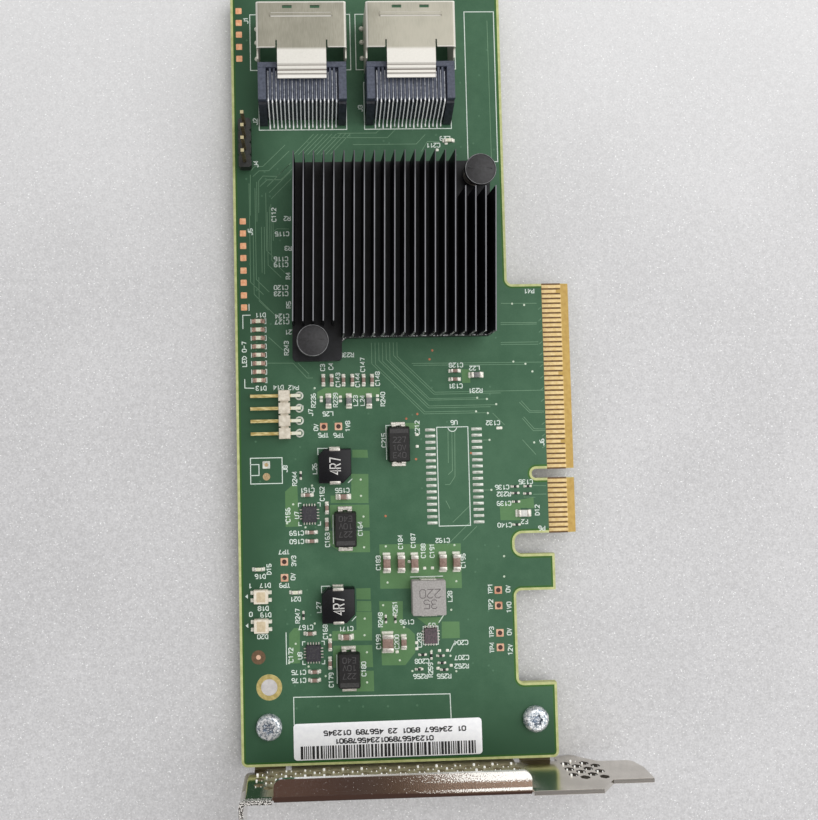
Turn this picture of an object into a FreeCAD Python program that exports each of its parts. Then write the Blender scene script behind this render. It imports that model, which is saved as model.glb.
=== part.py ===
# Low-profile host bus adapter card, lying component side up. Sizes are millimetres.
# Board frame while building: X runs from the plain long edge to the contact edge, Y from the bracket
# end to the port end, Z up from the component face. The last section moves the finished card so that
# its footprint is centred on the origin and its lowest point is on Z = 0.
import FreeCAD
import Part
import math
import os

vec = FreeCAD.Vector

# Board
board_length = 158.0
board_height = 68.9
board_thickness = 1.57
body_step = 12.75
bracket_end_step = 5.0
retention_step = 4.6
board_corner = 1.2
inner_corner = 1.1

# Edge connector, eight lanes
key_centre = 57.15
key_width = 1.9
key_depth = 8.8
short_run = 11.15
long_run = 38.15
end_slot_width = 4.23
end_slot_corner = 1.6
retention_tab = 7.3
relief_length = 18.55
bevel_length = 1.3
bevel_depth = 0.35
contact_pitch = 1.0
contact_count = 49
pins_before_key = 11
key_to_pin = 1.5
contact_width = 0.7
contact_length = 4.0
contact_margin = 1.6
contact_thickness = 0.05
short_contact_cut = 1.0
short_pins_component = (17, 31, 48)
short_pins_solder = (1,)

# Clearances
hole_clearance = 0.15
slide_clearance = 0.05
relief_gap = 0.35

# Bracket
sheet = 0.86
bracket_gap = 1.0
bracket_start = 0.5
bracket_length = 79.1
bracket_width = 18.42
bracket_drop = 2.38
bend_radius = 0.35
flange_depth = 3.7
flange_corner = 1.6
flange_ends = (6.95, 55.0)
flange_land = 1.9
board_tab_width = 6.2
board_tab_reach = 11.6
board_tab_relief = 1.2
board_tab_corner = 1.5
end_rise = 1.67
tab_rise = 0.97
tongue_width = 9.9
tongue_rise = 4.1
tip_cut_rise = 4.0
shoulder_rise = 0.8
screw_tab_length = 11.43
screw_notch_width = 4.42
screw_notch_depth = 5.2
screw_notch_place = 6.35

# Shares of the bracket's end, from the last board tab to the tip
shoulder_share = 0.23702
shoulder_top_share = 0.30582
shoulder_round_share = 0.09381
tongue_share = 0.50594
tip_cut_share = 0.075
tip_round_share = 0.088

# Honeycomb vents of the bracket
vent_flat = 1.75
vent_column_pitch = 1.88
vent_row_pitch = 3.0
vent_first_column = 3.8
vent_field_end = 55.0
vent_end_gap = 1.19
vent_tongue_gap = 0.7
vent_edge_land = 1.7
vent_top_land = 5.0

# Bracket screws
screw_row = 7.85
screw_lands = (5.61, 4.59)
screw_shank = 1.45
screw_head = 2.6
screw_head_height = 1.5
screw_tail = 1.1

# Plated mounting hole
plated_hole_place = (5.75, 15.5)
plated_hole_radius = 1.4
plating = 0.06
plating_ring = 2.6

# Controller and heat sink
chip_side = 25.0
chip_cap_side = 17.0
ball_field_side = 23.4
ball_height = 0.45
substrate = 1.1
chip_height = 2.4
thermal_pad_thickness = 0.2
sink_left = 11.4
sink_edge_land = 4.25
sink_low = 85.6
sink_port_gap = 8.5
sink_base = 2.4
sink_corner = 0.8
ear_width = 9.9
ear_reach = 4.8
ear_fillet = 1.4
fin_margin = 0.44
fin_pitch = 1.98
fin_thickness = 0.5
fin_height = 7.6
ear_fin_gap = 2.75
far_pin_pocket = 4.1

# Push pins
near_pin_inset = (3.8, -1.3)
far_pin_inset = (2.9, 3.3)
pin_stem = 1.45
pin_head = 2.95
pin_head_height = 1.15
pin_head_gap = 3.8
barb = 1.95
barb_length = 2.1
barb_tip = 0.9
spring_wire = 0.22
spring_radius = 2.15
spring_turns = 3
spring_sides = 5
spring_steps = 8

# Ports
port_centres = (14.68, 36.45)
port_setback = 6.2
cage_width = 17.9
cage_height = 9.4
cage_sheet = 0.3
cage_bend = 0.6
cage_roof = 9.25
cage_wall = 10.9
cage_wall_rear_drop = 1.6
tongue_half = 4.85
tongue_flat = 12.4
tongue_step_drop = 0.3
tongue_step_run = 0.9
tongue_steps = 3
tongue_slit = 0.3
tongue_slit_depth = 1.5
latch_slot = (1.9, 0.6)
latch_slot_offset = 2.75
latch_slot_setback = 1.05
rib_length = 12.4
rib_width = 0.9
rib_height = 0.25
rib_setback = 2.65
block_front = 10.95
block_rear = 19.0
block_width = 17.7
block_height = 7.5
floor_thickness = 0.7
card_slot_width = 14.8
card_slot_low = 3.6
card_slot_high = 5.1
card_slot_depth = 2.4
lead_count = 18
lead_pitch = 0.8
lead_width = 0.34
lead_thickness = 0.22
groove_width = 0.46
groove_depth = 0.42
groove_land = 1.2
lead_foot_reach = 22.3
lead_knee = 21.1
lead_lip = 0.1

# Pin headers
header_pitch = 2.54
header_pins = 4
header_side = 2.54
header_chamfer = 0.35
header_pin = 0.64
header_tail = 1.0
upright_header_place = (2.7, 125.8)
upright_header_top = 9.5
angle_header_place = (9.85, 70.2)
angle_pin_reach = 6.9
angle_pin_leg = 2.95

# Light-emitting diodes
activity_led_place = (4.75, 89.4)
activity_led_pitch = 1.727
activity_led_count = 8
activity_led_size = (2.0, 1.2, 0.75)
status_led_places = ((4.0, 39.15), (11.38, 34.35))
status_led_size = (1.7, 0.85, 0.7)
port_led_places = ((4.44, 33.76), (4.41, 27.95))
port_led_size = (3.3, 2.8, 1.5)
port_led_chamfer = 0.45
port_led_foot = (0.55, 0.75, 0.35)

# Power supply parts
tantalum_places = ((32.84, 63.75), (21.65, 46.87), (21.81, 18.9))
tantalum_size = (4.5, 7.2, 2.7)
tantalum_draft = 0.28
tantalum_foot = (2.9, 1.0, 0.35)
tantalum_lead_height = 1.3
inductor_places = ((19.85, 59.65), (20.0, 31.85))
inductor_size = (6.35, 6.9, 3.0)
inductor_chamfers = (1.2, 1.7)
inductor_plate = (2.3, 0.35)
filter_inductor_place = (38.05, 32.95)
filter_inductor_size = (6.75, 6.95, 3.0)
filter_plate = (3.2, 0.5)
regulator_places = ((14.46, 49.95), (14.76, 22.2))
regulator_size = (3.5, 3.7, 0.9)
monitor_place = (38.5, 25.0)
monitor_size = (3.1, 3.5, 0.85)
package_draft = 0.08

# Chip parts: place and the axis along which the part lies
large_capacitor_size = (3.2, 1.65, 1.4)
large_capacitors = (
    (29.89, 39.77, "y"), (32.82, 39.72, "y"), (35.54, 39.67, "y"),
    (41.28, 39.69, "y"), (44.07, 39.64, "y"),
)
bulk_capacitor_size = (3.4, 2.5, 1.6)
bulk_capacitors = ((29.73, 23.9, "y"),)
bead_size = (2.2, 1.3, 0.95)
beads = ((18.75, 72.83, "y"), (22.92, 72.76, "y"), (27.03, 72.69, "y"), (49.16, 77.59, "x"))
medium_capacitor_size = (2.2, 1.25, 0.95)
medium_capacitors = ((21.4, 53.32, "x"), (21.35, 25.21, "x"), (32.98, 23.84, "y"))
small_capacitor_size = (1.7, 0.85, 0.8)
small_capacitors = (
    (17.8, 77.1, "y"), (19.49, 77.07, "y"), (21.91, 77.03, "y"),
    (23.73, 77.0, "y"), (26.02, 76.96, "y"), (27.76, 76.93, "y"),
    (44.78, 78.52, "x"), (44.73, 76.78, "x"),
    (14.1, 53.83, "x"), (14.78, 46.31, "x"), (14.81, 44.56, "x"),
    (14.11, 26.1, "x"), (14.89, 18.49, "x"), (14.85, 16.82, "x"),
    (18.01, 51.12, "y"), (17.94, 47.84, "y"), (18.11, 23.68, "y"), (18.04, 20.07, "y"),
)
resistor_size = (1.1, 0.55, 0.35)
resistors = (
    (12.83, 57.8, "y"), (12.87, 29.7, "y"), (29.46, 28.5, "y"), (31.4, 28.5, "y"),
    (36.73, 21.2, "x"), (38.5, 21.0, "y"), (40.61, 19.47, "x"), (35.95, 18.33, "x"),
    (41.02, 18.1, "x"), (40.35, 20.9, "x"),
)
terminal_share = 0.24
terminal_step = 0.05
fuse_size = (2.8, 1.6, 0.9)

# Parts beside the contacts: distance from the contact edge, then place along the board
fuse_setback = (10.8, 49.15)
contact_side_resistors = (
    (12.39, 54.6), (9.74, 54.6), (12.31, 53.25), (9.85, 53.1), (12.24, 51.5), (12.27, 46.85),
)

# Label
label_centre = (29.6, 4.55)
label_size = (37.9, 7.2, 0.1)
label_turn = 0.5

# Worked out from the driving dimensions
body_edge = board_height - body_step
bracket_end_edge = board_height - bracket_end_step
retention_edge = board_height - retention_step
underside = -board_thickness
port_mouth = board_length - port_setback
key_low = key_centre - key_width / 2
key_high = key_centre + key_width / 2
run_low = key_low - short_run
run_high = key_high + long_run
slot_low = run_low - end_slot_width
tab_low = slot_low - retention_tab
relief_low = tab_low - relief_length
plate_inner = -bracket_gap
plate_outer = plate_inner - sheet
plate_bottom = underside - bracket_drop
plate_top = plate_bottom + bracket_width
end_floor = underside + end_rise
tab_floor = underside + tab_rise
tongue_bottom = plate_bottom + tongue_rise
tongue_top = tongue_bottom + tongue_width
sink_right = body_edge - sink_edge_land
sink_high = port_mouth - lead_foot_reach - sink_port_gap
sink_floor = chip_height + thermal_pad_thickness
sink_top = sink_floor + sink_base
head_floor = sink_top + pin_head_gap
chip_centre = ((sink_left + sink_right) / 2, (sink_low + sink_high) / 2)
fin_first = sink_left + fin_margin
fin_count = int((sink_right - fin_first) / fin_pitch) + 1
push_pin_places = (
    (sink_left + near_pin_inset[0], sink_low + near_pin_inset[1]),
    (sink_right - far_pin_inset[0], sink_high - far_pin_inset[1]),
)
screw_places = ((screw_lands[0], screw_row), (bracket_end_edge - screw_lands[1], screw_row))
end_start = screw_places[1][0] + board_tab_width / 2 + board_tab_relief
bracket_tip = bracket_start + bracket_length
end_run = bracket_tip - end_start
shoulder_start = end_start + shoulder_share * end_run
shoulder_top = end_start + shoulder_top_share * end_run
shoulder_round = shoulder_round_share * end_run
tongue_start = end_start + tongue_share * end_run
tip_cut = tip_cut_share * end_run
tip_round = tip_round_share * end_run
fuse_place = (board_height - fuse_setback[0], fuse_setback[1])
contact_side_places = tuple((board_height - x, y, "x") for x, y in contact_side_resistors)


def box(low, high):
    size = [b - a for a, b in zip(low, high)]
    return Part.makeBox(size[0], size[1], size[2], vec(*low))


def centred_box(place, size, floor=0.0):
    low = (place[0] - size[0] / 2, place[1] - size[1] / 2, floor)
    high = (place[0] + size[0] / 2, place[1] + size[1] / 2, floor + size[2])
    return box(low, high)


def cylinder(place, radius, low, high):
    return Part.makeCylinder(radius, high - low, vec(place[0], place[1], low))


def outline(corners):
    # Closed outline through (x, y, radius) corners; a corner with a radius becomes an arc.
    edges = []
    ends = []
    count = len(corners)
    for i, (x, y, radius) in enumerate(corners):
        here = vec(x, y, 0)
        to_last = (vec(*corners[i - 1][:2], 0) - here).normalize()
        to_next = (vec(*corners[(i + 1) % count][:2], 0) - here).normalize()
        if radius == 0:
            ends.append((here, here))
            continue
        half = to_last.getAngle(to_next) / 2
        start = here + to_last * (radius / math.tan(half))
        stop = here + to_next * (radius / math.tan(half))
        inward = (to_last + to_next).normalize()
        middle = here + inward * (radius / math.sin(half) - radius)
        edges.append(Part.Arc(start, middle, stop).toShape())
        ends.append((start, stop))
    for i in range(count):
        start = ends[i][1]
        stop = ends[(i + 1) % count][0]
        if start.distanceToPoint(stop) > 1e-6:
            edges.append(Part.makeLine(start, stop))
    return Part.Wire(Part.__sortEdges__(edges))


def slab(corners, low, height):
    solid = Part.Face(outline(corners)).extrude(vec(0, 0, height))
    solid.translate(vec(0, 0, low))
    return solid


def rectangle(centre, size, radius):
    half_x = size[0] / 2
    half_y = size[1] / 2
    signs = ((-1, -1), (1, -1), (1, 1), (-1, 1))
    return [(centre[0] + sx * half_x, centre[1] + sy * half_y, radius) for sx, sy in signs]


def side_prism(points, left, right):
    # Prism whose profile is in the YZ plane, running along X.
    wire = Part.makePolygon([vec(left, y, z) for y, z in points + points[:1]])
    return Part.Face(wire).extrude(vec(right - left, 0, 0))


def front_prism(points, near, far):
    # Prism whose profile is in the XZ plane, running along Y.
    wire = Part.makePolygon([vec(x, near, z) for x, z in points + points[:1]])
    return Part.Face(wire).extrude(vec(0, far - near, 0))


def ribbon(path, thickness):
    # Outline of a strip of even thickness along a path, with mitred corners.
    sides = ([], [])
    for i, (a, b) in enumerate(path):
        before = path[max(i - 1, 0)]
        after = path[min(i + 1, len(path) - 1)]
        directions = []
        if i > 0:
            directions.append(vec(a - before[0], b - before[1], 0).normalize())
        if i < len(path) - 1:
            directions.append(vec(after[0] - a, after[1] - b, 0).normalize())
        mean = (directions[0] + directions[-1]).normalize()
        reach = thickness / 2 / mean.dot(directions[0])
        sides[0].append((a - mean.y * reach, b + mean.x * reach))
        sides[1].append((a + mean.y * reach, b - mean.x * reach))
    return sides[0] + sides[1][::-1]


def fused(solids):
    return solids[0].multiFuse(solids[1:]).removeSplitter()


def contact_place(pin):
    # Along the board, pin 1 is nearest the bracket.
    if pin > pins_before_key:
        return key_centre + key_to_pin + (pin - pins_before_key - 1) * contact_pitch
    return key_centre - key_to_pin - (pins_before_key - pin) * contact_pitch


def header_places(place):
    middle = (header_pins - 1) / 2
    return [place[1] + (i - middle) * header_pitch for i in range(header_pins)]


def make_board():
    corners = [
        (0, 0, board_corner),
        (bracket_end_edge, 0, board_corner),
        (bracket_end_edge, relief_low, 0),
        (body_edge, relief_low, inner_corner),
        (body_edge, tab_low, inner_corner),
        (retention_edge, tab_low, 0),
        (retention_edge, slot_low, 0),
        (body_edge, slot_low, end_slot_corner),
        (body_edge, run_low, end_slot_corner),
        (board_height, run_low, 0),
        (board_height, key_low, 0),
        (board_height - key_depth, key_low, key_width * 0.48),
        (board_height - key_depth, key_high, key_width * 0.48),
        (board_height, key_high, 0),
        (board_height, run_high, 0),
        (body_edge, run_high, inner_corner),
        (body_edge, board_length, board_corner),
        (0, board_length, board_corner),
    ]
    board = slab(corners, underside, board_thickness)
    start = board_height - bevel_length
    past = board_height + 1
    rise = bevel_depth / bevel_length * (past - start)
    upper = [(start, 0), (past, 0), (past, -rise)]
    lower = [(x, underside - z) for x, z in upper]
    bevels = [front_prism(points, run_low, run_high) for points in (upper, lower)]
    bores = [(place, screw_shank + hole_clearance) for place in screw_places]
    bores += [(place, pin_stem + hole_clearance) for place in push_pin_places]
    bores.append((plated_hole_place, plated_hole_radius))
    drills = [cylinder(place, radius, underside - 1, 1) for place, radius in bores]
    return board.cut(bevels + drills + make_upright_pins() + make_angle_pins())


def make_edge_contacts(floor, short_pins):
    pads = []
    inner = board_height - contact_margin - contact_length
    for pin in range(1, contact_count + 1):
        cut = short_contact_cut if pin in short_pins else 0
        y = contact_place(pin) - contact_width / 2
        low = (inner, y, floor)
        high = (inner + contact_length - cut, y + contact_width, floor + contact_thickness)
        pads.append(box(low, high))
    return Part.Compound(pads)


def make_hole_ring():
    inner = plated_hole_radius
    profile = [(inner, 0), (plating_ring, 0), (plating_ring, plating), (inner, plating)]
    return turned(profile, plated_hole_place)


def turned(profile, place):
    # Solid of revolution about the upright axis through a place, from (radius, height) points.
    points = [vec(place[0] + r, place[1], z) for r, z in profile + profile[:1]]
    face = Part.Face(Part.makePolygon(points))
    return face.revolve(vec(place[0], place[1], 0), vec(0, 0, 1), 360)


def make_controller():
    balls = centred_box(chip_centre, (ball_field_side, ball_field_side, ball_height))
    plate = centred_box(chip_centre, (chip_side, chip_side, substrate), ball_height)
    cap_floor = ball_height + substrate
    cap = centred_box(chip_centre, (chip_cap_side, chip_cap_side, chip_height - cap_floor), cap_floor)
    return fused([balls, plate, cap])


def make_thermal_pad():
    return centred_box(chip_centre, (chip_cap_side, chip_cap_side, thermal_pad_thickness), chip_height)


def make_heat_sink():
    ear_right = sink_left + ear_width
    ear_low = sink_low - ear_reach
    base = slab([
        (sink_left, ear_low, sink_corner),
        (ear_right, ear_low, sink_corner),
        (ear_right, sink_low, ear_fillet),
        (sink_right, sink_low, 0),
        (sink_right, sink_high, 0),
        (sink_left, sink_high, 0),
    ], sink_floor, sink_base)
    fins = []
    for i in range(fin_count):
        x = fin_first + i * fin_pitch
        low = sink_low
        high = sink_high
        if x < ear_right + fin_pitch / 2:
            low = sink_low + ear_fin_gap
        if abs(x - push_pin_places[1][0]) < far_pin_pocket:
            high = push_pin_places[1][1] - far_pin_pocket
        left = max(x - fin_thickness / 2, sink_left)
        right = min(x + fin_thickness / 2, sink_right)
        fins.append(box((left, low, sink_top), (right, high, sink_top + fin_height)))
    radius = pin_stem + hole_clearance
    drills = [cylinder(place, radius, sink_floor - 1, sink_top + 1) for place in push_pin_places]
    return fused([base] + fins).cut(drills)


def make_push_pin(place):
    head_top = head_floor + pin_head_height
    profile = [
        (0, head_top), (pin_head, head_top), (pin_head, head_floor), (pin_stem, head_floor),
        (pin_stem, underside), (barb, underside), (barb_tip, underside - barb_length),
        (0, underside - barb_length),
    ]
    return turned(profile, place)


def make_spring(place):
    # Compression spring with ends ground flat between the base and the pin's head: a wire section
    # carried round a helix and lofted from step to step.
    rise = pin_head_gap - spring_wire
    slope = math.atan2(rise / spring_turns, 2 * math.pi * spring_radius)
    steps = spring_turns * spring_steps
    sections = []
    for i in range(steps + 1):
        section = Part.makePolygon([
            vec(spring_wire * math.cos(k * 2 * math.pi / spring_sides), 0,
                spring_wire * math.sin(k * 2 * math.pi / spring_sides))
            for k in range(spring_sides + 1)
        ])
        section.rotate(vec(0, 0, 0), vec(1, 0, 0), math.degrees(slope))
        section.translate(vec(spring_radius, 0, spring_wire / 2 + rise * i / steps))
        section.rotate(vec(0, 0, 0), vec(0, 0, 1), 360 * i / spring_steps)
        sections.append(section)
    coil = Part.makeLoft(sections, True, True)
    coil.translate(vec(place[0], place[1], sink_top))
    reach = spring_radius + 1
    room = box((place[0] - reach, place[1] - reach, sink_top),
               (place[0] + reach, place[1] + reach, head_floor))
    return coil.common(room)


def lead_places(centre):
    middle = (lead_count - 1) / 2
    return [centre + (i - middle) * lead_pitch for i in range(lead_count)]


def make_port_housing(centre):
    front = port_mouth - block_front
    rear = port_mouth - block_rear
    half = block_width / 2
    floor_half = cage_width / 2 - cage_sheet - slide_clearance
    block = box((centre - half, rear, 0), (centre + half, front, block_height))
    floor = box((centre - floor_half, rear, 0),
                (centre + floor_half, port_mouth - slide_clearance, floor_thickness))
    card_slot = box((centre - card_slot_width / 2, front - card_slot_depth, card_slot_low),
                    (centre + card_slot_width / 2, front + 1, card_slot_high))
    grooves = [box((x - groove_width / 2, rear - 1, block_height - groove_depth),
                   (x + groove_width / 2, front - groove_land, block_height + 1))
               for x in lead_places(centre)]
    return fused([block, floor]).cut([card_slot] + grooves)


def make_port_leads(centre):
    # Formed leads: back along the grooves of the housing, over its rear edge and down to the board.
    run = block_height - groove_depth + lead_thickness / 2
    foot = lead_thickness / 2
    points = ribbon([
        (port_mouth - block_front - groove_land, run), (port_mouth - block_rear - lead_lip, run),
        (port_mouth - lead_knee, foot), (port_mouth - lead_foot_reach, foot),
    ], lead_thickness)
    leads = [side_prism(points, x - lead_width / 2, x + lead_width / 2) for x in lead_places(centre)]
    return Part.Compound(leads)


def make_port_cage(centre):
    half = cage_width / 2
    roof_rear = port_mouth - cage_roof
    wall_rear = port_mouth - cage_wall
    outer = [(-half, 0, 0), (half, 0, 0), (half, cage_height, cage_bend), (-half, cage_height, cage_bend)]
    inside = half - cage_sheet
    ceiling = cage_height - cage_sheet
    inner = [(-inside, -1, 0), (inside, -1, 0), (inside, ceiling, cage_bend - cage_sheet),
             (-inside, ceiling, cage_bend - cage_sheet)]
    shell = slab(outer, 0, cage_wall).cut(slab(inner, -1, cage_wall + 2))
    shell.rotate(vec(0, 0, 0), vec(1, 0, 0), 90)
    shell.translate(vec(centre, port_mouth, 0))
    open_rear = box((centre - half - 1, wall_rear - 1, cage_height - cage_wall_rear_drop),
                    (centre + half + 1, roof_rear, cage_height + 1))
    slot_y = port_mouth - latch_slot_setback
    slots = [centred_box((centre + side * latch_slot_offset, slot_y), latch_slot + (2,), ceiling - 1)
             for side in (-1, 1)]
    slit_centre = tongue_half + tongue_slit / 2
    slit_size = (tongue_slit, 2 * tongue_slit_depth, 2)
    slits = [centred_box((centre + side * slit_centre, roof_rear), slit_size, ceiling - 1)
             for side in (-1, 1)]
    sheet_middle = cage_height - cage_sheet / 2
    path = [(roof_rear + 0.5, sheet_middle), (port_mouth - tongue_flat, sheet_middle)]
    for step in range(tongue_steps):
        y, z = path[-1]
        path.append((y - tongue_step_drop, z - tongue_step_drop))
        path.append((y - tongue_step_run, z - tongue_step_drop))
    tongue = side_prism(ribbon(path, cage_sheet), centre - tongue_half, centre + tongue_half)
    rib_y = port_mouth - rib_setback
    rib = side_prism([
        (rib_y - rib_width / 2, cage_height), (rib_y + rib_width / 2, cage_height),
        (rib_y + rib_width / 4, cage_height + rib_height), (rib_y - rib_width / 4, cage_height + rib_height),
    ], centre - rib_length / 2, centre + rib_length / 2)
    return fused([shell.cut([open_rear] + slots + slits), tongue, rib])


def make_header_body(place):
    # Breakaway strip: one chamfered square per pin, joined in a row.
    half = header_side / 2
    cut = header_chamfer
    corners = []
    for y in header_places(place):
        corners += [(half, y - half + cut), (half, y + half - cut), (half - cut, y + half)]
    right = [(half - cut, corners[0][1] - cut)] + corners
    left = [(-x, y) for x, y in right[::-1]]
    points = [(place[0] + x, y, 0) for x, y in right + left]
    return slab(points, 0, header_side)


def make_upright_pins():
    x = upright_header_place[0]
    size = (header_pin, header_pin, upright_header_top + board_thickness + header_tail)
    floor = underside - header_tail
    return [centred_box((x, y), size, floor) for y in header_places(upright_header_place)]


def make_angle_pins():
    middle = header_side / 2
    start = angle_header_place[0] - angle_pin_reach
    leg = angle_header_place[0] + angle_pin_leg
    points = ribbon([(start, middle), (leg, middle), (leg, underside - header_tail)], header_pin)
    half = header_pin / 2
    return [front_prism(points, y - half, y + half) for y in header_places(angle_header_place)]


def make_activity_leds():
    x, first = activity_led_place
    places = [(x, first - i * activity_led_pitch) for i in range(activity_led_count)]
    return Part.Compound([centred_box(place, activity_led_size) for place in places])


def make_port_led(place):
    length, width, height = port_led_size
    cut = port_led_chamfer
    left, right = place[0] - length / 2, place[0] + length / 2
    low, high = place[1] - width / 2, place[1] + width / 2
    return slab([
        (left + cut, low, 0), (right - cut, low, 0), (right, low + cut, 0), (right, high - cut, 0),
        (right - cut, high, 0), (left + cut, high, 0), (left, high - cut, 0), (left, low + cut, 0),
    ], 0, height)


def make_port_led_terminals():
    feet = []
    for place in port_led_places:
        for side_x in (-1, 1):
            for side_y in (-1, 1):
                x = place[0] + side_x * (port_led_size[0] + port_led_foot[0]) / 2
                y = place[1] + side_y * port_led_foot[1]
                feet.append(centred_box((x, y), port_led_foot))
    return Part.Compound(feet)


def make_tantalum(place):
    # Moulded block with draft above and below its parting line.
    width, length, height = tantalum_size
    half = width / 2
    middle = tantalum_lead_height
    section = [
        (place[0] - half + tantalum_draft, 0), (place[0] + half - tantalum_draft, 0),
        (place[0] + half, middle), (place[0] + half - tantalum_draft, height),
        (place[0] - half + tantalum_draft, height), (place[0] - half, middle),
    ]
    return front_prism(section, place[1] - length / 2, place[1] + length / 2)


def make_tantalum_terminals():
    leads = []
    width, reach, thickness = tantalum_foot
    for place in tantalum_places:
        for side in (-1, 1):
            face = place[1] + side * tantalum_size[1] / 2
            tip = face + side * reach
            back = face + side * thickness
            points = [
                (face, 0), (tip, 0), (tip, thickness), (back, thickness),
                (back, tantalum_lead_height), (face, tantalum_lead_height),
            ]
            leads.append(side_prism(points, place[0] - width / 2, place[0] + width / 2))
    return Part.Compound(leads)


def make_inductor(place):
    # Moulded block with a small and a large chamfer on opposite corners.
    width, length, height = inductor_size
    large, small = inductor_chamfers
    left, right = place[0] - width / 2, place[0] + width / 2
    low, high = place[1] - length / 2, place[1] + length / 2
    return slab([
        (left, low, 0), (right - small, low, 0), (right, low + small, 0),
        (right, high, 0), (left + large, high, 0), (left, high - large, 0),
    ], 0, height)


def make_inductor_terminals():
    plates = []
    blocks = [(place, inductor_size, inductor_plate) for place in inductor_places]
    blocks.append((filter_inductor_place, filter_inductor_size, filter_plate))
    for place, size, (width, thickness) in blocks:
        for side in (-1, 1):
            y = place[1] + side * (size[1] + thickness) / 2
            plates.append(centred_box((place[0], y), (width, thickness, size[2] * 0.8)))
    return Part.Compound(plates)


def make_package(place, size):
    # Flat package whose upper edges lean in slightly.
    lower = outline(rectangle(place, size, 0))
    upper = outline(rectangle(place, [side - 2 * package_draft for side in size[:2]], 0))
    upper.translate(vec(0, 0, size[2]))
    return Part.makeLoft([lower, upper], True, True)


def make_chips(places, size):
    return Part.Compound([centred_box((x, y), turned_size(size, axis)) for x, y, axis in places])


def make_capped_chips(places, size):
    # Chip with plated end caps that stand a little proud of its body.
    chips = []
    length, width, height = size
    cap = length * terminal_share
    body_size = (length - 2 * cap, width - 2 * terminal_step, height - terminal_step)
    for x, y, axis in places:
        shift = (length - cap) / 2
        offset = (shift, 0) if axis == "x" else (0, shift)
        caps = [centred_box((x + side * offset[0], y + side * offset[1]),
                            turned_size((cap, width, height), axis)) for side in (-1, 1)]
        body = centred_box((x, y), turned_size(body_size, axis))
        chips.append(fused([body] + caps))
    return Part.Compound(chips)


def turned_size(size, axis):
    length, width, height = size
    return (length, width, height) if axis == "x" else (width, length, height)


def bent_ribbon(path, radius, thickness):
    # Face of a bent strip in the XY plane: straight runs joined by arcs round the inner bend radius.
    sides = ribbon([(x, y) for x, y in path], thickness)
    count = len(path)
    left = sides[:count]
    right = sides[count:][::-1]
    corners = []
    for row, backward in ((left, False), (right, True)):
        order = range(count - 1, -1, -1) if backward else range(count)
        for i in order:
            x, y = row[i]
            if i in (0, count - 1):
                corners.append((x, y, 0))
                continue
            ahead = vec(path[i + 1][0] - path[i][0], path[i + 1][1] - path[i][1], 0)
            inside = (vec(x - path[i][0], y - path[i][1], 0)).dot(ahead) > 0
            corners.append((x, y, radius if inside else radius + thickness))
    return corners


def vent_centres():
    low = plate_bottom + vent_edge_land + vent_flat
    high = plate_top - vent_top_land
    centres = []
    columns = int((vent_field_end - vent_first_column) / vent_column_pitch) + 1
    fields = [[vent_first_column + i * vent_column_pitch for i in range(columns)]]
    end_first = end_start + vent_end_gap
    end_count = int((tongue_start - vent_tongue_gap - end_first) / vent_column_pitch) + 1
    fields.append([end_first + i * vent_column_pitch for i in range(end_count)])
    for columns in fields:
        for i, x in enumerate(columns):
            z = low + (vent_row_pitch / 2 if i % 2 == 0 else 0)
            while z < high:
                centres.append((x, z))
                z += vent_row_pitch
    return centres


def vent_is_clear(x, z):
    # Vents stay off the bends beside the board tabs and inside both slanted shoulders.
    lower_slant = (tongue_start - shoulder_start) / tongue_rise
    upper_slant = (tongue_start - shoulder_top) / (plate_top - tongue_top)
    lower = shoulder_start + (z - plate_bottom) * lower_slant
    upper = shoulder_top + (plate_top - z) * upper_slant
    left_tab, right_tab = tab_spans()
    off = board_tab_relief + 2 * vent_flat
    by_tab = x < left_tab[1] + off or right_tab[0] - off < x < right_tab[1] + off
    low_row = z < tab_floor + vent_flat * 0.75
    return x < min(lower, upper) - vent_flat and not (by_tab and low_row)


def tab_spans():
    return [(x - board_tab_width / 2, x + board_tab_width / 2) for x, y in screw_places]


def make_bracket_plate():
    tabs = tab_spans()
    gap = board_tab_relief
    corners = [
        (bracket_start + sheet + bend_radius, end_floor, 0),
        (tabs[0][0], end_floor, 0),
        (tabs[0][0], tab_floor, 0),
        (tabs[0][1] + gap, tab_floor, 0),
        (tabs[0][1] + gap, plate_bottom, 0),
        (tabs[1][0] - gap, plate_bottom, 0),
        (tabs[1][0] - gap, tab_floor, 0),
        (tabs[1][1] + gap, tab_floor, 0),
        (tabs[1][1] + gap, plate_bottom + shoulder_rise, 0),
        (shoulder_start, plate_bottom, shoulder_round),
        (tongue_start, tongue_bottom, shoulder_round),
        (bracket_tip - tip_cut, tongue_bottom, tip_round),
        (bracket_tip, tongue_bottom + tip_cut_rise, 0),
        (bracket_tip, tongue_top, 0),
        (tongue_start, tongue_top, 0),
        (shoulder_top, plate_top, 0),
        (flange_ends[1] + relief_gap, plate_top, 0),
        (flange_ends[1] + relief_gap, plate_top - flange_land, 0),
        (flange_ends[0] - relief_gap, plate_top - flange_land, 0),
        (flange_ends[0] - relief_gap, plate_top, 0),
        (bracket_start + sheet + bend_radius, plate_top, 0),
    ]
    half = vent_flat / 2
    point = vent_flat / math.sqrt(3)
    hexagon = [(half, point / 2), (0, point), (-half, point / 2), (-half, -point / 2), (0, -point),
               (half, -point / 2)]
    wires = [outline(corners)]
    for x, z in vent_centres():
        if vent_is_clear(x, z):
            points = [vec(x + a, z + b, 0) for a, b in hexagon + hexagon[:1]]
            wires.append(Part.makePolygon(points))
    face = Part.Face(wires)
    face.validate()
    plate = face.extrude(vec(0, 0, sheet))
    plate.rotate(vec(0, 0, 0), vec(1, 0, 0), 90)
    plate.translate(vec(0, plate_inner, 0))
    return plate


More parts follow.
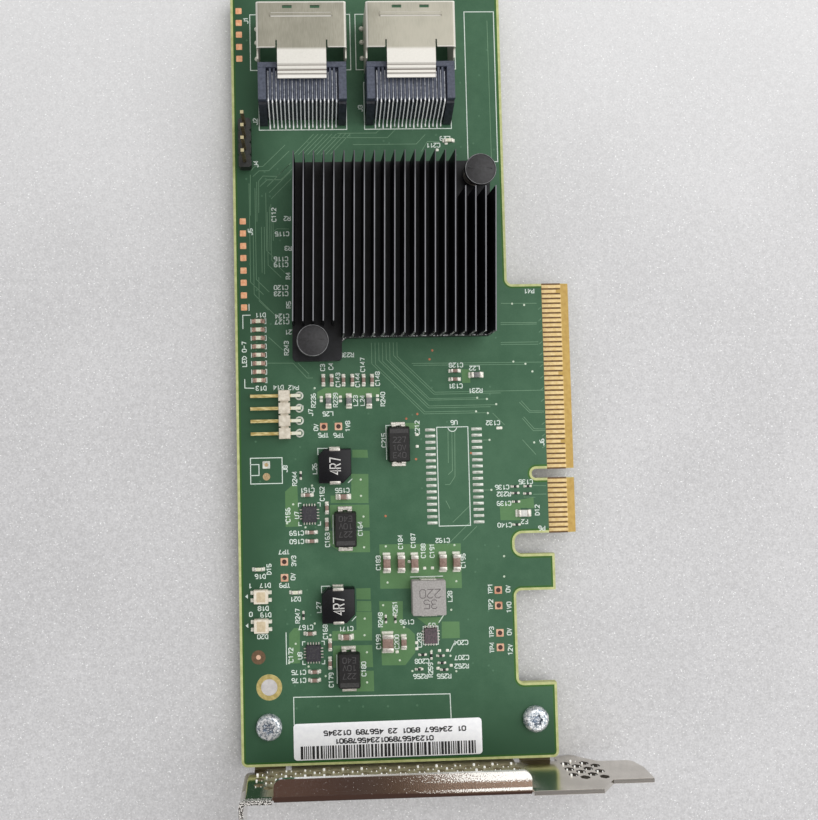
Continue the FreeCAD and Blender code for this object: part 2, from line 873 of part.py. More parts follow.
def side_strip(path, radius, left, right):
    # Bent sheet whose section is in the YZ plane, running along X.
    strip = slab(bent_ribbon(path, radius, sheet), 0, right - left)
    strip.rotate(vec(0, 0, 0), vec(1, 1, 1), 120)
    strip.translate(vec(left, 0, 0))
    return strip


def make_bracket():
    middle = (plate_inner + plate_outer) / 2
    pieces = [make_bracket_plate()]
    left, right = flange_ends
    free_edge = plate_inner + flange_depth
    flange_path = [(middle, plate_top - flange_land), (middle, plate_top - sheet / 2),
                   (free_edge, plate_top - sheet / 2)]
    flange = side_strip(flange_path, bend_radius, left, right)
    span = [(left, plate_outer - 1, 0), (right, plate_outer - 1, 0),
            (right, free_edge, flange_corner), (left, free_edge, flange_corner)]
    pieces.append(flange.common(slab(span, plate_bottom, 2 * bracket_width)))
    tab_path = [(middle, tab_floor), (middle, underside - sheet / 2),
                (board_tab_reach, underside - sheet / 2)]
    for (left, right), place in zip(tab_spans(), screw_places):
        tab = side_strip(tab_path, bend_radius, left, right)
        shape = [(left, plate_outer - 1, 0), (right, plate_outer - 1, 0),
                 (right, board_tab_reach, board_tab_corner), (left, board_tab_reach, board_tab_corner)]
        tab = tab.common(slab(shape, plate_bottom, bracket_width))
        pieces.append(tab.cut(cylinder(place, screw_shank + slide_clearance, plate_bottom, 0)))
    tab_end = plate_outer - screw_tab_length
    tab_middle = bracket_start + sheet / 2
    tab_bend = bracket_start + sheet + bend_radius
    screw_tab = slab(bent_ribbon([(tab_bend, middle), (tab_middle, middle), (tab_middle, tab_end)],
                                 bend_radius, sheet), end_floor, plate_top - end_floor)
    notch_y = plate_outer - screw_notch_place
    round_z = end_floor + screw_notch_depth - screw_notch_width / 2
    notch = box((bracket_start - 1, notch_y - screw_notch_width / 2, end_floor - 1),
                (bracket_start + sheet + 1, notch_y + screw_notch_width / 2, round_z))
    crown = Part.makeCylinder(screw_notch_width / 2, sheet + 2, vec(bracket_start - 1, notch_y, round_z),
                              vec(1, 0, 0))
    pieces.append(screw_tab.cut([notch, crown]))
    return fused(pieces)


def make_screw(place):
    low = underside - sheet - screw_tail
    profile = [
        (0, low), (screw_shank, low), (screw_shank, 0), (screw_head, 0),
        (screw_head, screw_head_height), (0, screw_head_height),
    ]
    return turned(profile, place)


def make_label():
    label = centred_box(label_centre, label_size)
    label.rotate(vec(label_centre[0], label_centre[1], 0), vec(0, 0, 1), label_turn)
    return label


nodes = {
    "printed_circuit_board": make_board(),
    "edge_contacts_component_side": make_edge_contacts(0, short_pins_component),
    "edge_contacts_solder_side": make_edge_contacts(underside - contact_thickness, short_pins_solder),
    "hole_ring": make_hole_ring(),
    "controller_chip": make_controller(),
    "thermal_pad": make_thermal_pad(),
    "heat_sink": make_heat_sink(),
    "activity_leds": make_activity_leds(),
    "status_leds": Part.Compound([centred_box(place, status_led_size) for place in status_led_places]),
    "port_leds": Part.Compound([make_port_led(place) for place in port_led_places]),
    "port_led_terminals": make_port_led_terminals(),
    "tantalum_terminals": make_tantalum_terminals(),
    "inductor_terminals": make_inductor_terminals(),
    "filter_inductor": centred_box(filter_inductor_place, filter_inductor_size),
    "power_monitor": make_package(monitor_place, monitor_size),
    "large_ceramic_capacitors": make_capped_chips(large_capacitors, large_capacitor_size),
    "bulk_ceramic_capacitor": make_capped_chips(bulk_capacitors, bulk_capacitor_size),
    "medium_ceramic_capacitors": make_capped_chips(medium_capacitors, medium_capacitor_size),
    "small_ceramic_capacitors": make_chips(small_capacitors, small_capacitor_size),
    "ferrite_beads": make_capped_chips(beads, bead_size),
    "chip_resistors": make_chips(resistors + contact_side_places, resistor_size),
    "fuse": make_capped_chips((fuse_place + ("x",),), fuse_size),
    "label": make_label(),
    "mounting_bracket": make_bracket(),
    "bracket_screws": Part.Compound([make_screw(place) for place in screw_places]),
}
for name, place in zip(("near", "far"), push_pin_places):
    nodes["push_pin_" + name] = make_push_pin(place)
    nodes["push_pin_spring_" + name] = make_spring(place)
for name, centre in zip(("left", "right"), port_centres):
    nodes["port_housing_" + name] = make_port_housing(centre)
    nodes["port_cage_" + name] = make_port_cage(centre)
    nodes["port_contacts_" + name] = make_port_leads(centre)
for name, place, pins in (
    ("upright_header", upright_header_place, make_upright_pins()),
    ("angle_header", angle_header_place, make_angle_pins()),
):
    nodes[name + "_body"] = make_header_body(place).cut(pins)
    nodes[name + "_pins"] = Part.Compound(pins)
for i, place in enumerate(tantalum_places, 1):
    nodes["tantalum_capacitor_%d" % i] = make_tantalum(place)
for i, place in enumerate(inductor_places, 1):
    nodes["power_inductor_%d" % i] = make_inductor(place)
for i, place in enumerate(regulator_places, 1):
    nodes["voltage_regulator_%d" % i] = make_package(place, regulator_size)

# Centre the footprint on the origin and stand the lowest point on Z = 0.
bounds = Part.Compound(list(nodes.values())).BoundBox
shift = vec(-bounds.Center.x, -bounds.Center.y, -bounds.ZMin)
os.makedirs("parts", exist_ok=True)
for name, shape in nodes.items():
    shape.translate(shift)
    shape.exportStep(os.path.join("parts", name + ".step"))
print("shift %.3f %.3f %.3f" % tuple(shift))
print("size %.2f %.2f %.2f" % (bounds.XLength, bounds.YLength, bounds.ZLength))
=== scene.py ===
import math
import bpy
import numpy as np
from mathutils import Matrix, Vector
from mathutils.geometry import tessellate_polygon


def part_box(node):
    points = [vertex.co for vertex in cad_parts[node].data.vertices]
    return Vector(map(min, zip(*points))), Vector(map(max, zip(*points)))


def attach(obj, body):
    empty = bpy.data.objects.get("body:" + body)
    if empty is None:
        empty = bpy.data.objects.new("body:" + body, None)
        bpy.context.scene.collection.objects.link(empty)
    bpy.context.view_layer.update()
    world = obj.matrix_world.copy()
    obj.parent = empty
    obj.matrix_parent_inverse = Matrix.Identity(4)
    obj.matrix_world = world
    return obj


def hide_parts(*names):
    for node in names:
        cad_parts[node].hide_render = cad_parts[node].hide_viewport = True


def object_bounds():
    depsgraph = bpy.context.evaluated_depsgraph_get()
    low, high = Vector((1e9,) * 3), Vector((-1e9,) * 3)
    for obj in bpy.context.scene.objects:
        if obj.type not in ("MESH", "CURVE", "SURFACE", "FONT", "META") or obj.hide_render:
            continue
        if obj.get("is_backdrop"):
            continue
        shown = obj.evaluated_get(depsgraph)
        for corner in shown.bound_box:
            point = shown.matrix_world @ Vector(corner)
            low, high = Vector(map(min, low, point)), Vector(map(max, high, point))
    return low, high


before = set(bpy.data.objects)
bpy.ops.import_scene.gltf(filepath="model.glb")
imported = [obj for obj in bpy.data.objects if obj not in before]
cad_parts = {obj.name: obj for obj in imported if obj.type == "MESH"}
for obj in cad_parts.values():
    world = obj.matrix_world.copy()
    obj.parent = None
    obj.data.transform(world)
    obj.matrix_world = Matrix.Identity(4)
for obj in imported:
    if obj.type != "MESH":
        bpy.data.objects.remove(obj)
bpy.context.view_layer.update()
boardLow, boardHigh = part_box("printed_circuit_board")
mm = 0.001
zero = np.array([boardLow[0], boardLow[1], boardHigh[2]])  # corner by the bracket, component face
print("frame loaded:", len(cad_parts), "nodes")


# Meshes: sizes in mm on the board, X to the contacts, Y to the ports, Z up from the component face

class Mould:  # gathers the points and faces of one piece
    def __init__(self):
        self.points, self.loops, self.sizes, self.count = [], [], [], 0

    def add(self, points, *faceSets):
        points = np.asarray(points, float).reshape(-1, 3)
        for faces in faceSets:
            faces = np.asarray(faces, int)
            self.loops.append((faces + self.count).ravel())
            self.sizes.append(np.full(len(faces), faces.shape[1]))
        self.points.append(points)
        self.count += len(points)


def gridFaces(rows, cols, wrapRows=False, wrapCols=False):  # quads of a grid of points, row by row
    i = np.arange(rows if wrapRows else rows - 1)[:, None]
    j = np.arange(cols if wrapCols else cols - 1)[None, :]
    iNext, jNext = (i + 1) % rows, (j + 1) % cols
    quads = np.broadcast_arrays(i * cols + j, i * cols + jNext, iNext * cols + jNext, iNext * cols + j)
    return np.stack(quads, -1).reshape(-1, 4)


def stack(mould, rings):  # rings (pieces, levels, n, 3), counter-clockwise, lowest first: skinned, capped
    pieces, levels, n = rings.shape[:3]
    step = np.arange(pieces)[:, None, None] * levels * n
    sides = (gridFaces(levels, n, wrapCols=True)[None] + step).reshape(-1, 4)
    floor = np.arange(n)[::-1][None] + step[:, 0]
    roof = (levels - 1) * n + np.arange(n)[None] + step[:, 0]
    mould.add(rings, sides, floor, roof)


def insetRing(ring, amount):  # corners move in along their mitre: (a + b) / (1 + a.b) of the side normals
    ahead = np.roll(ring, -1, 0) - ring
    ahead = ahead / np.linalg.norm(ahead, axis=1, keepdims=True)
    a = np.stack([-ahead[:, 1], ahead[:, 0]], 1)
    b = np.roll(a, 1, 0)
    return ring + amount * (a + b) / (1 + (a * b).sum(1, keepdims=True))


def rectangle(width, length, corner=0.0, steps=4):  # four quarter turns of a circle at the corners of a box
    if corner <= 0:
        return np.array([[-1, -1], [1, -1], [1, 1], [-1, 1]]) * [width / 2, length / 2]
    turn = np.linspace(0, math.pi / 2, steps + 1)
    angles = (np.arange(4)[:, None] * math.pi / 2 + turn[None] + math.pi).ravel()
    signs = np.repeat([[-1, -1], [1, -1], [1, 1], [-1, 1]], steps + 1, 0)
    arcs = corner * np.stack([np.cos(angles), np.sin(angles)], 1)
    return signs * [width / 2 - corner, length / 2 - corner] + arcs


def circle(radius, steps=24):
    angles = np.arange(steps) * 2 * math.pi / steps
    return radius * np.stack([np.cos(angles), np.sin(angles)], 1)


def shifts(places):  # places on the board, shaped to move rings (pieces, levels, n, 3)
    return np.c_[np.asarray(places, float), np.zeros(len(places))][:, None, None]


def loft(mould, ring, levels, places=((0, 0),)):  # one outline through (inset, height) levels, at each place
    shapes = [np.c_[insetRing(ring, inset), np.full(len(ring), z)] for inset, z in levels]
    stack(mould, np.stack(shapes)[None] + shifts(places))


def lathe(mould, profile, places=((0, 0),), steps=32, lean=0.0):  # (radius, height) points spun round
    radius, height = np.asarray(profile, float).T[:, :, None, None]
    turn = np.c_[circle(1, steps), np.zeros(steps)]
    stack(mould, (radius * turn + height * [lean, 0, 1])[None] + shifts(places))


def mitred(path, closed=False):  # step to the left at each point: (a + b) / (1 + a.b) of its two runs
    ahead = np.diff(np.concatenate([path, path[:1]]) if closed else path, axis=0)
    ahead = ahead / np.linalg.norm(ahead, axis=1, keepdims=True)
    after = ahead if closed else np.concatenate([ahead, ahead[-1:]])
    before = np.roll(ahead, 1, 0) if closed else np.concatenate([ahead[:1], ahead])
    mitre = (after + before) / (1 + (after * before).sum(1, keepdims=True)).clip(0.3)
    return np.stack([-mitre[:, 1], mitre[:, 0]], 1)


def ribbon(mould, path, width, low, high, closed=False):  # a flat bar of even width along a path
    path = np.asarray(path, float)
    side = mitred(path, closed) * width / 2
    n = len(path)
    rail = np.stack([path - side, path + side, path + side, path - side], 1)
    points = np.concatenate([rail, np.broadcast_to([[[low], [low], [high], [high]]], (n, 4, 1))], 2)
    faces = [gridFaces(n, 4, closed, True)[:, ::-1]]
    if not closed:
        faces += [[[0, 1, 2, 3]], [[4 * n - 1, 4 * n - 2, 4 * n - 3, 4 * n - 4]]]
    mould.add(points, *faces)


def plate(mould, outer, holes, low, high):  # flat sheet with holes: two filled faces joined by walls
    loops = [np.asarray(outer)] + [np.asarray(hole)[::-1] for hole in holes]
    flat = np.concatenate(loops)
    filled = np.array(tessellate_polygon([[(x, y, 0) for x, y in loop] for loop in loops]))
    a, b, c = flat[filled[:, 0]], flat[filled[:, 1]], flat[filled[:, 2]]
    turned = (b[:, 0] - a[:, 0]) * (c[:, 1] - a[:, 1]) - (b[:, 1] - a[:, 1]) * (c[:, 0] - a[:, 0]) < 0
    filled[turned] = filled[turned][:, ::-1]
    total = len(flat)
    walls, start = [], 0
    for loop in loops:
        i = np.arange(len(loop)) + start
        j = np.roll(i, -1)
        walls.append(np.stack([i, j, j + total, i + total], 1))
        start += len(loop)
    points = np.concatenate([np.c_[flat, np.full(total, low)], np.c_[flat, np.full(total, high)]])
    mould.add(points, filled[:, ::-1], filled + total, *walls)


def sweepX(mould, section, left, right):  # (y, z) outline carried along X
    section = np.asarray(section, float)
    ends = [np.c_[np.full(len(section), x), section] for x in (left, right)]
    stack(mould, np.array(ends)[None])


def sweepY(mould, section, near, far):  # (x, z) outline carried along Y
    section = np.asarray(section, float)
    ends = [np.c_[section[:, 0], np.full(len(section), y), section[:, 1]] for y in (far, near)]
    stack(mould, np.array(ends)[None])


def strip(path, thickness):  # closed outline of bent sheet: the path moved half a thickness to either side
    path = np.asarray(path, float)
    side = mitred(path) * thickness / 2
    return np.concatenate([path - side, (path + side)[::-1]])


def brick(mould, low, high, edge=0.06):  # upright box with its upper edges taken off
    centre, size = (np.array(low) + high) / 2, np.array(high) - low
    levels = [(0, low[2]), (0, high[2] - edge), (edge, high[2])]
    loft(mould, rectangle(*size[:2]), levels, (centre[:2],))


def tile(mould, size, corner, heights, edge, places):  # low slab: floor, shoulder and top heights
    floor, shoulder, top = heights
    loft(mould, rectangle(*size, corner, 2), [(0, floor), (0, shoulder), (edge, top)], places)


def stud(mould, radius, inner, heights, places, steps):  # low round dot: floor, shoulder and top heights
    floor, shoulder, top = heights
    lathe(mould, ((radius, floor), (radius, shoulder), (inner, top)), places, steps)


def washer(mould, place, outer, inner, low, high, steps):  # flat ring
    plate(mould, circle(outer, steps) + place, [circle(inner, steps) + place], low, high)


def rounded(corners, steps=6):  # (x, y, radius) corners; each arc is a slerp between its two touching points
    places = np.array([corner[:2] for corner in corners], float)
    ring = []
    for i, corner in enumerate(corners):
        spot, radius = places[i], corner[2]
        if radius <= 0:
            ring.append(spot[None])
            continue
        a, b = places[i - 1] - spot, places[(i + 1) % len(places)] - spot
        a, b = a / np.linalg.norm(a), b / np.linalg.norm(b)
        half = math.acos(a @ b) / 2
        span = math.pi - 2 * half
        centre = spot + (a + b) / np.linalg.norm(a + b) * radius / math.sin(half)
        start, end = (spot + way * radius / math.tan(half) - centre for way in (a, b))
        t = np.linspace(0, 1, steps + 1)[:, None]
        ring.append(centre + (np.sin((1 - t) * span) * start + np.sin(t * span) * end) / math.sin(span))
    return np.concatenate(ring)


def insetCorners(corners, amount):  # outline moved inwards: outer radii shrink, inner ones grow
    places = np.array([corner[:2] for corner in corners], float)
    ahead, behind = np.roll(places, -1, 0) - places, places - np.roll(places, 1, 0)
    outer = behind[:, 0] * ahead[:, 1] - behind[:, 1] * ahead[:, 0] > 0
    radii = np.array([corner[2] for corner in corners], float)
    radii = np.where(outer, np.maximum(radii - amount, 0), np.where(radii > 0, radii + amount, 0))
    return np.c_[insetRing(places, amount), radii]


def finishPiece(name, mould, material, stands=(), smooth=30.0):  # makes it and ties it to the card
    points = np.concatenate(mould.points) * mm + zero
    loops, sizes = np.concatenate(mould.loops), np.concatenate(mould.sizes)
    mesh = bpy.data.meshes.new(name)
    mesh.vertices.add(len(points))
    mesh.vertices.foreach_set("co", points.ravel())
    mesh.loops.add(len(loops))
    mesh.loops.foreach_set("vertex_index", loops)
    mesh.polygons.add(len(sizes))
    mesh.polygons.foreach_set("loop_start", np.concatenate([[0], np.cumsum(sizes)[:-1]]))
    mesh.update(calc_edges=True)
    mesh.validate()
    mesh.materials.append(material)
    piece = bpy.data.objects.new(name, mesh)
    bpy.context.scene.collection.objects.link(piece)
    mesh.shade_smooth()
    mesh.set_sharp_from_angle(angle=math.radians(smooth))
    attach(piece, "root")
    if stands:
        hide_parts(*stands)


# Finishes

def tone(red, green, blue):  # screen colour, 0 to 255, as the light it stands for
    share = np.array([red, green, blue]) / 255
    return [*np.where(share <= 0.04045, share / 12.92, ((share + 0.055) / 1.055) ** 2.4).tolist(), 1.0]


class Dye:  # one shader socket; plain arithmetic on it adds Math nodes
    def __init__(self, tree, socket=None):
        self.tree, self.socket = tree, socket

    def node(self, kind, settings=None, sockets=None, out=0):  # any node: settings, then values or links
        made = self.tree.nodes.new("ShaderNode" + kind)
        for key, value in (settings or {}).items():
            setattr(made, key, value)
        for key, value in (sockets or {}).items():
            if isinstance(value, Dye):
                self.tree.links.new(value.socket, made.inputs[key])
            else:
                made.inputs[key].default_value = value
        return Dye(self.tree, made.outputs[out])

    def sum(self, operation, first, second=0.0):
        return self.node("Math", {"operation": operation}, {0: first, 1: second})

    def __add__(self, other):
        return self.sum("ADD", self, other)

    def __radd__(self, other):
        return self.sum("ADD", other, self)

    def __sub__(self, other):
        return self.sum("SUBTRACT", self, other)

    def __rsub__(self, other):
        return self.sum("SUBTRACT", other, self)

    def __mul__(self, other):
        return self.sum("MULTIPLY", self, other)

    def __rmul__(self, other):
        return self.sum("MULTIPLY", other, self)

    def __pow__(self, other):
        return self.sum("POWER", self, other)

    def __abs__(self):
        return self.sum("ABSOLUTE", self)

    def capped(self):  # at most 1
        return self.sum("MINIMUM", self, 1.0)

    def between(self, low, high):  # 0 below low, 1 above high, smooth in between
        return self.node("MapRange", {"interpolation_type": "SMOOTHSTEP"}, {0: self, 1: low, 2: high})

    def blend(self, first, second):  # two colours mixed by this value
        return self.node("Mix", {"data_type": "RGBA"}, {0: self, 6: first, 7: second}, 2)

    def where(self):  # object coordinates, in metres
        return self.node("TexCoord", out=3)

    def noise(self, size, detail=2.0, stretch=(1, 1, 1)):  # size in mm
        spread = self.node("Mapping", None, {0: self.where(), 3: [s / mm for s in stretch]})
        return self.node("TexNoise", None, {"Vector": spread, "Scale": 1 / size, "Detail": detail})

    def axes(self):  # place on the board in mm, as three values
        moved = self.node("Mapping", None, {0: self.where(), 1: (-zero / mm).tolist(), 3: [1 / mm] * 3})
        return moved.parts()

    def parts(self):  # the three components of a vector
        made = self.node("SeparateXYZ", None, {0: self}).socket.node
        return [Dye(self.tree, made.outputs[k]) for k in range(3)]

    def bump(self, height, strength, depth):  # depth in mm
        return self.node("Bump", None, {"Height": height, "Strength": strength, "Distance": depth * mm})


def finish(name, recipe=None, **values):  # a principled shader with fixed values, then what its recipe links
    material = bpy.data.materials.new(name)
    material.use_nodes = True
    tree = material.node_tree
    shader = tree.nodes["Principled BSDF"]
    for key, value in values.items():
        shader.inputs[key].default_value = value
    if recipe:
        for key, value in recipe(Dye(tree)).items():
            tree.links.new(value.socket, shader.inputs[key])
    return material


def worn(colour, dark, size, rough, grain, depth):  # mottled colour, uneven gloss, fine grain
    def recipe(dye):
        patch = dye.noise(size)
        fine = dye.noise(size / 12, 3)
        mottle = (patch * 0.7 + fine * 0.3).between(0.3, 0.7)
        made = {"Base Color": mottle.blend(tone(*dark), tone(*colour)),
                "Roughness": rough[0] + (rough[1] - rough[0]) * fine}
        if grain:
            made["Normal"] = dye.bump(fine, grain, depth)
        return made
    return recipe


def paint(name, colour, dark, size, rough=(0.4, 0.55), grain=0.0, depth=0.02, **values):  # plain, worn
    return finish(name, worn(colour, dark, size, rough, grain, depth), **values)


maskTones = {
    "mask": {"light": (72, 108, 82), "dark": (56, 93, 68), "shade": (46, 80, 56)},
    "maskOnCopper": {"light": (98, 136, 92), "dark": (84, 121, 78)},
    "maskOnTrace": {"light": (118, 150, 122), "dark": (98, 132, 104)},
    "maskOnVia": {"light": (86, 122, 96), "dark": (72, 108, 82)},
    "maskOnLaminate": {"light": (66, 110, 46), "dark": (48, 90, 36)},
}


def maskRecipe(colours):  # green varnish: slow mottling, with painted shade toward the plain edge and the bracket
    def recipe(dye):
        x, y = dye.axes()[:2]
        slow, patch, fine = dye.noise(22, 2), dye.noise(2.6, 3), dye.noise(0.3, 2)
        mottle = (slow * 0.5 + patch * 0.3 + fine * 0.2).between(0.3, 0.7)
        lit = mottle.blend(tone(*colours["dark"]), tone(*colours["light"]))
        # painted shade: the varnish darkens toward the plain edge and the bracket
        fromSide = (x * 0.06 + slow * 0.3).between(0.1, 0.9)
        fromBracket = (y * 0.04 + slow * 0.3).between(0.1, 0.9)
        edge = dye.sum("MINIMUM", fromSide, fromBracket)
        return {"Base Color": edge.blend(tone(*colours.get("shade", colours["dark"])), lit),
                "Roughness": 0.46 + 0.14 * fine, "Normal": dye.bump(fine * 0.5 + patch * 0.5, 0.1, 0.02)}
    return recipe


plainGloss = {"Specular IOR Level": 0.2}
maskGreen = finish("solderMask", maskRecipe(maskTones["mask"]), **plainGloss)
copperGreen = finish("maskOverCopper", maskRecipe(maskTones["maskOnCopper"]), **plainGloss)
traceGreen = finish("maskOverTrace", maskRecipe(maskTones["maskOnTrace"]), **plainGloss)
viaGreen = finish("maskOverVia", maskRecipe(maskTones["maskOnVia"]), **plainGloss)
maskEdge = finish("maskOverLaminate", maskRecipe(maskTones["maskOnLaminate"]), **plainGloss)
laminate = paint("glassLaminate", (198, 202, 142), (172, 178, 114), 1.2, (0.5, 0.6), 0.2, 0.02)
silkWhite = paint("silkInk", (226, 234, 226), (200, 214, 204), 0.4, (0.6, 0.7))
fingerGold = paint("fingerGold", (212, 189, 140), (194, 165, 106), 0.8, (0.3, 0.42), Metallic=0.35)
copperPad = paint("barePad", (244, 188, 146), (224, 154, 110), 0.6, Metallic=0.2)
dotCopper = paint("dotCopper", (196, 120, 84), (150, 86, 58), 0.4, Metallic=0.2)
testPad = paint("testPad", (230, 194, 166), (192, 128, 98), 2.4, Metallic=0.2)
agedGold = paint("agedGold", (196, 172, 130), (150, 124, 86), 0.4, Metallic=0.2)
boreShade = paint("padBoreShade", (76, 40, 24), (38, 21, 15), 0.5, (0.4, 0.6))
markRing = paint("markRing", (112, 84, 56), (86, 66, 42), 0.5, (0.5, 0.6))
silverPad = paint("tinnedPad", (240, 240, 230), (208, 208, 194), 0.45, (0.35, 0.5), 0.15, 0.01, Metallic=0.2)
dullPad = paint("emptyPad", (220, 224, 216), (172, 176, 166), 0.7, (0.3, 0.45), 0.2, 0.02, Metallic=0.3)
amberStrip = paint("amberEdge", (194, 160, 80), (176, 140, 60), 1.0, (0.45, 0.6))
gapBrown = paint("contactGap", (112, 78, 32), (78, 50, 18), 1.0, (0.5, 0.6))
# painted glints that glow a little, for the vent flecks
ventGlintGlow = paint("ventGlintGlow", (255, 255, 250), (240, 240, 232), 0.3, (0.3, 0.4),
                   **{"Emission Strength": 0.3})
viaTin = paint("viaTin", (216, 226, 208), (176, 192, 168), 0.4)
tinPlate = paint("tinPlate", (232, 230, 222), (188, 184, 176), 0.35, (0.22, 0.4), 0.2, 0.01, Metallic=0.55)
lampEnd = paint("lampEnd", (206, 172, 156), (134, 108, 96), 0.3, (0.3, 0.45), Metallic=0.3)
epoxyBlack = paint("mouldedEpoxy", (34, 35, 38), (22, 23, 25), 0.5, (0.45, 0.6), 0.25, 0.01)
rimHighlight = paint("rimHighlight", (150, 150, 152), (92, 92, 94), 0.8, (0.35, 0.5))
pinPlastic = paint("pinPlastic", (45, 45, 49), (27, 27, 30), 0.5, (0.42, 0.55), 0.35, 0.02)
springSteel = paint("springSteel", (150, 148, 144), (100, 98, 94), 0.5, (0.25, 0.4), Metallic=0.9)
padGrey = paint("thermalPad", (150, 150, 156), (120, 120, 126), 0.8, (0.7, 0.8))
housingPlastic = paint("housingPlastic", (80, 86, 103), (58, 64, 79), 0.5, (0.45, 0.6), 0.25, 0.02)
# painted shade: the housing plastic made darker for the sloping rear comb
combShadePlastic = paint("combShadePlastic", (52, 56, 66), (30, 33, 40), 0.5, (0.4, 0.55), 0.2, 0.02)
creamPlastic = paint("creamPlastic", (222, 214, 198), (188, 178, 160), 0.7, (0.4, 0.55), 0.2, 0.02)
blackPlastic = paint("blackPlastic", (40, 42, 40), (24, 26, 25), 0.8, (0.4, 0.55), 0.1, 0.01)
ceramicBrown = paint("firedCeramic", (152, 127, 115), (122, 99, 89), 0.4, (0.4, 0.55), 0.1, 0.01)
ferriteGrey = paint("pressedFerrite", (172, 168, 165), (146, 142, 139), 0.3, (0.6, 0.75), 0.3, 0.02)
beadGrey = paint("beadFerrite", (138, 138, 136), (98, 98, 98), 0.3, (0.45, 0.6))
packageViolet = paint("packageResin", (51, 49, 58), (33, 31, 38), 0.4, (0.4, 0.55), 0.2, 0.01)
packageBrown = paint("packageBrown", (98, 82, 88), (74, 62, 68), 0.4, (0.4, 0.55), 0.2, 0.01)
markPale = paint("paleMark", (222, 220, 216), (186, 184, 180), 0.3, (0.6, 0.7))
markDull = paint("dullMark", (112, 107, 107), (90, 85, 85), 0.3, (0.6, 0.7))
markGrey = paint("laserMark", (76, 74, 75), (54, 53, 54), 0.3, (0.6, 0.7))
bandGrey = paint("polarityBand", (62, 61, 61), (40, 40, 41), 0.3, (0.55, 0.65))
lampShell = paint("lampShell", (234, 226, 210), (212, 200, 180), 0.6, (0.35, 0.5))
lampGel = paint("lampGel", (216, 200, 170), (196, 178, 146), 0.6, (0.2, 0.3), **{"Coat Weight": 0.4})
ferriteBlack = paint("ironPowder", (18, 20, 26), (9, 10, 14), 0.3, (0.3, 0.45), 0.25, 0.01,
                     **{"Specular IOR Level": 0.28})
tantalumBlack = paint("tantalumCase", (29, 28, 29), (15, 15, 16), 0.3, (0.38, 0.52), 0.25, 0.01,
                      **{"Specular IOR Level": 0.35})
resistorBlack = paint("filmResistor", (44, 44, 46), (26, 26, 28), 0.3, (0.3, 0.45))
fuseWhite = paint("fuseCeramic", (222, 222, 216), (196, 196, 190), 0.5, (0.35, 0.5))
lampClear = paint("lampResin", (236, 236, 218), (206, 206, 176), 0.3, (0.2, 0.35), **{"Coat Weight": 0.4})
labelPaper = paint("labelFilm", (252, 252, 253), (243, 243, 246), 1.0, (0.5, 0.6), 0.1, 0.01)
labelInk = paint("labelInk", (34, 34, 37), (22, 22, 25), 0.8, (0.5, 0.6))


def sinkRecipe(dye):  # black anodising, with a painted grey highlight along the fin tips and painted glints on the bare metal of the sawn ends
    x, y, z = dye.axes()
    nearEnd, earRight, finTop, farEnd = 85.5, 21.6, 12.45, 121
    cloud, fine, speck = dye.noise(1.5, 2), dye.noise(0.12, 3), dye.noise(0.35, 1)
    black = (cloud * 0.6 + fine * 0.4).between(0.3, 0.7).blend(tone(13, 15, 19), tone(30, 31, 36))
    # painted glints: white specks on the bare metal of the sawn fin ends
    sawnGlint = (nearEnd - y).between(0.0, 0.1) * x.between(earRight, earRight + 0.2)
    sawnGlint = sawnGlint * speck.between(0.5, 0.62) * z.between(4.2, 5.2)
    # painted highlight along the fin tips, fading toward the far end
    paintedGleam = z.between(finTop, finTop + 0.13) * (0.75 + 0.25 * cloud)
    paintedGleam = paintedGleam * (0.35 + 0.65 * (farEnd - y).between(1.0, 9.0))
    metal = sawnGlint.blend(paintedGleam.blend(black, tone(140, 140, 145)), tone(205, 205, 205))
    return {"Base Color": metal, "Roughness": 0.42 + 0.16 * fine, "Normal": dye.bump(fine, 0.15, 0.01)}


def cageRecipe(dye):  # plated sheet with drawn lines along the card; painted highlights on the bends, edges, rib lines and tongue, painted light on the side walls and the right-hand cage, painted shade in the tongue's steps
    x, y, z = dye.axes()
    cardLine, apart, roof, half, tongue = 25.57, 10.89, 8.9, 8.45, 5.2
    front, ridgeLine, rearEdge, gleamFrom = 151.5, 149.15, 142.75, 142.55
    drawn, cloud, fine = dye.noise(0.12, 2, (1, 0.08, 1)), dye.noise(4.0, 2), dye.noise(0.3, 2)
    middle = abs(abs(x - cardLine) - apart)  # distance from the nearer cage's middle
    above = (z - roof).between(0.0, 0.1)
    # drawn grain and mottle, plus painted light that brightens the right-hand cage
    sheen = (drawn * 0.4 + cloud * 0.4 + x.between(20, 40) * 0.25).between(0.2, 0.75)
    sheet = sheen.blend(tone(140, 138, 125), tone(176, 173, 160))
    # painted highlight on the tongue
    paintedGleam = (gleamFrom - y).between(-0.1, 0.6) * (z - (roof - 0.7)).between(0.0, 0.1) * (0.7 + 0.25 * fine)
    # painted highlights on the bends, the front edge, the tongue's rear edge and the two rib lines
    rear = (rearEdge - y).between(0.0, 0.12) * middle.between(tongue, tongue + 0.2)
    bend = middle.between(half, half + 0.2) + (y - front).between(0.0, 0.1) + rear
    ridge = (0.12 - abs(abs(y - ridgeLine) - 0.36)).between(0.0, 0.08) * (6.1 - middle).between(0.0, 0.2)
    # painted light on the side walls below the roof
    walls = (roof - 0.1 - z).between(0.0, 0.2) * 0.5
    bright = (paintedGleam + (0.7 * bend + ridge) * above + walls).capped()
    # painted shade in the three steps of the tongue
    steps = [(0.15 - abs(y - line)).between(0.0, 0.12) for line in (139.0, 138.15, 137.45)]
    stepShade = (steps[0] * 0.7 + steps[1] + steps[2] * 0.7) * (tongue - middle).between(0.0, 0.1)
    metal = stepShade.blend(bright.blend(sheet, tone(232, 229, 222)), tone(100, 88, 80))
    return {"Base Color": metal, "Metallic": 0.6 - 0.5 * bright, "Roughness": 0.36 + 0.14 * drawn,
            "Normal": dye.bump(drawn, 0.1, 0.01)}


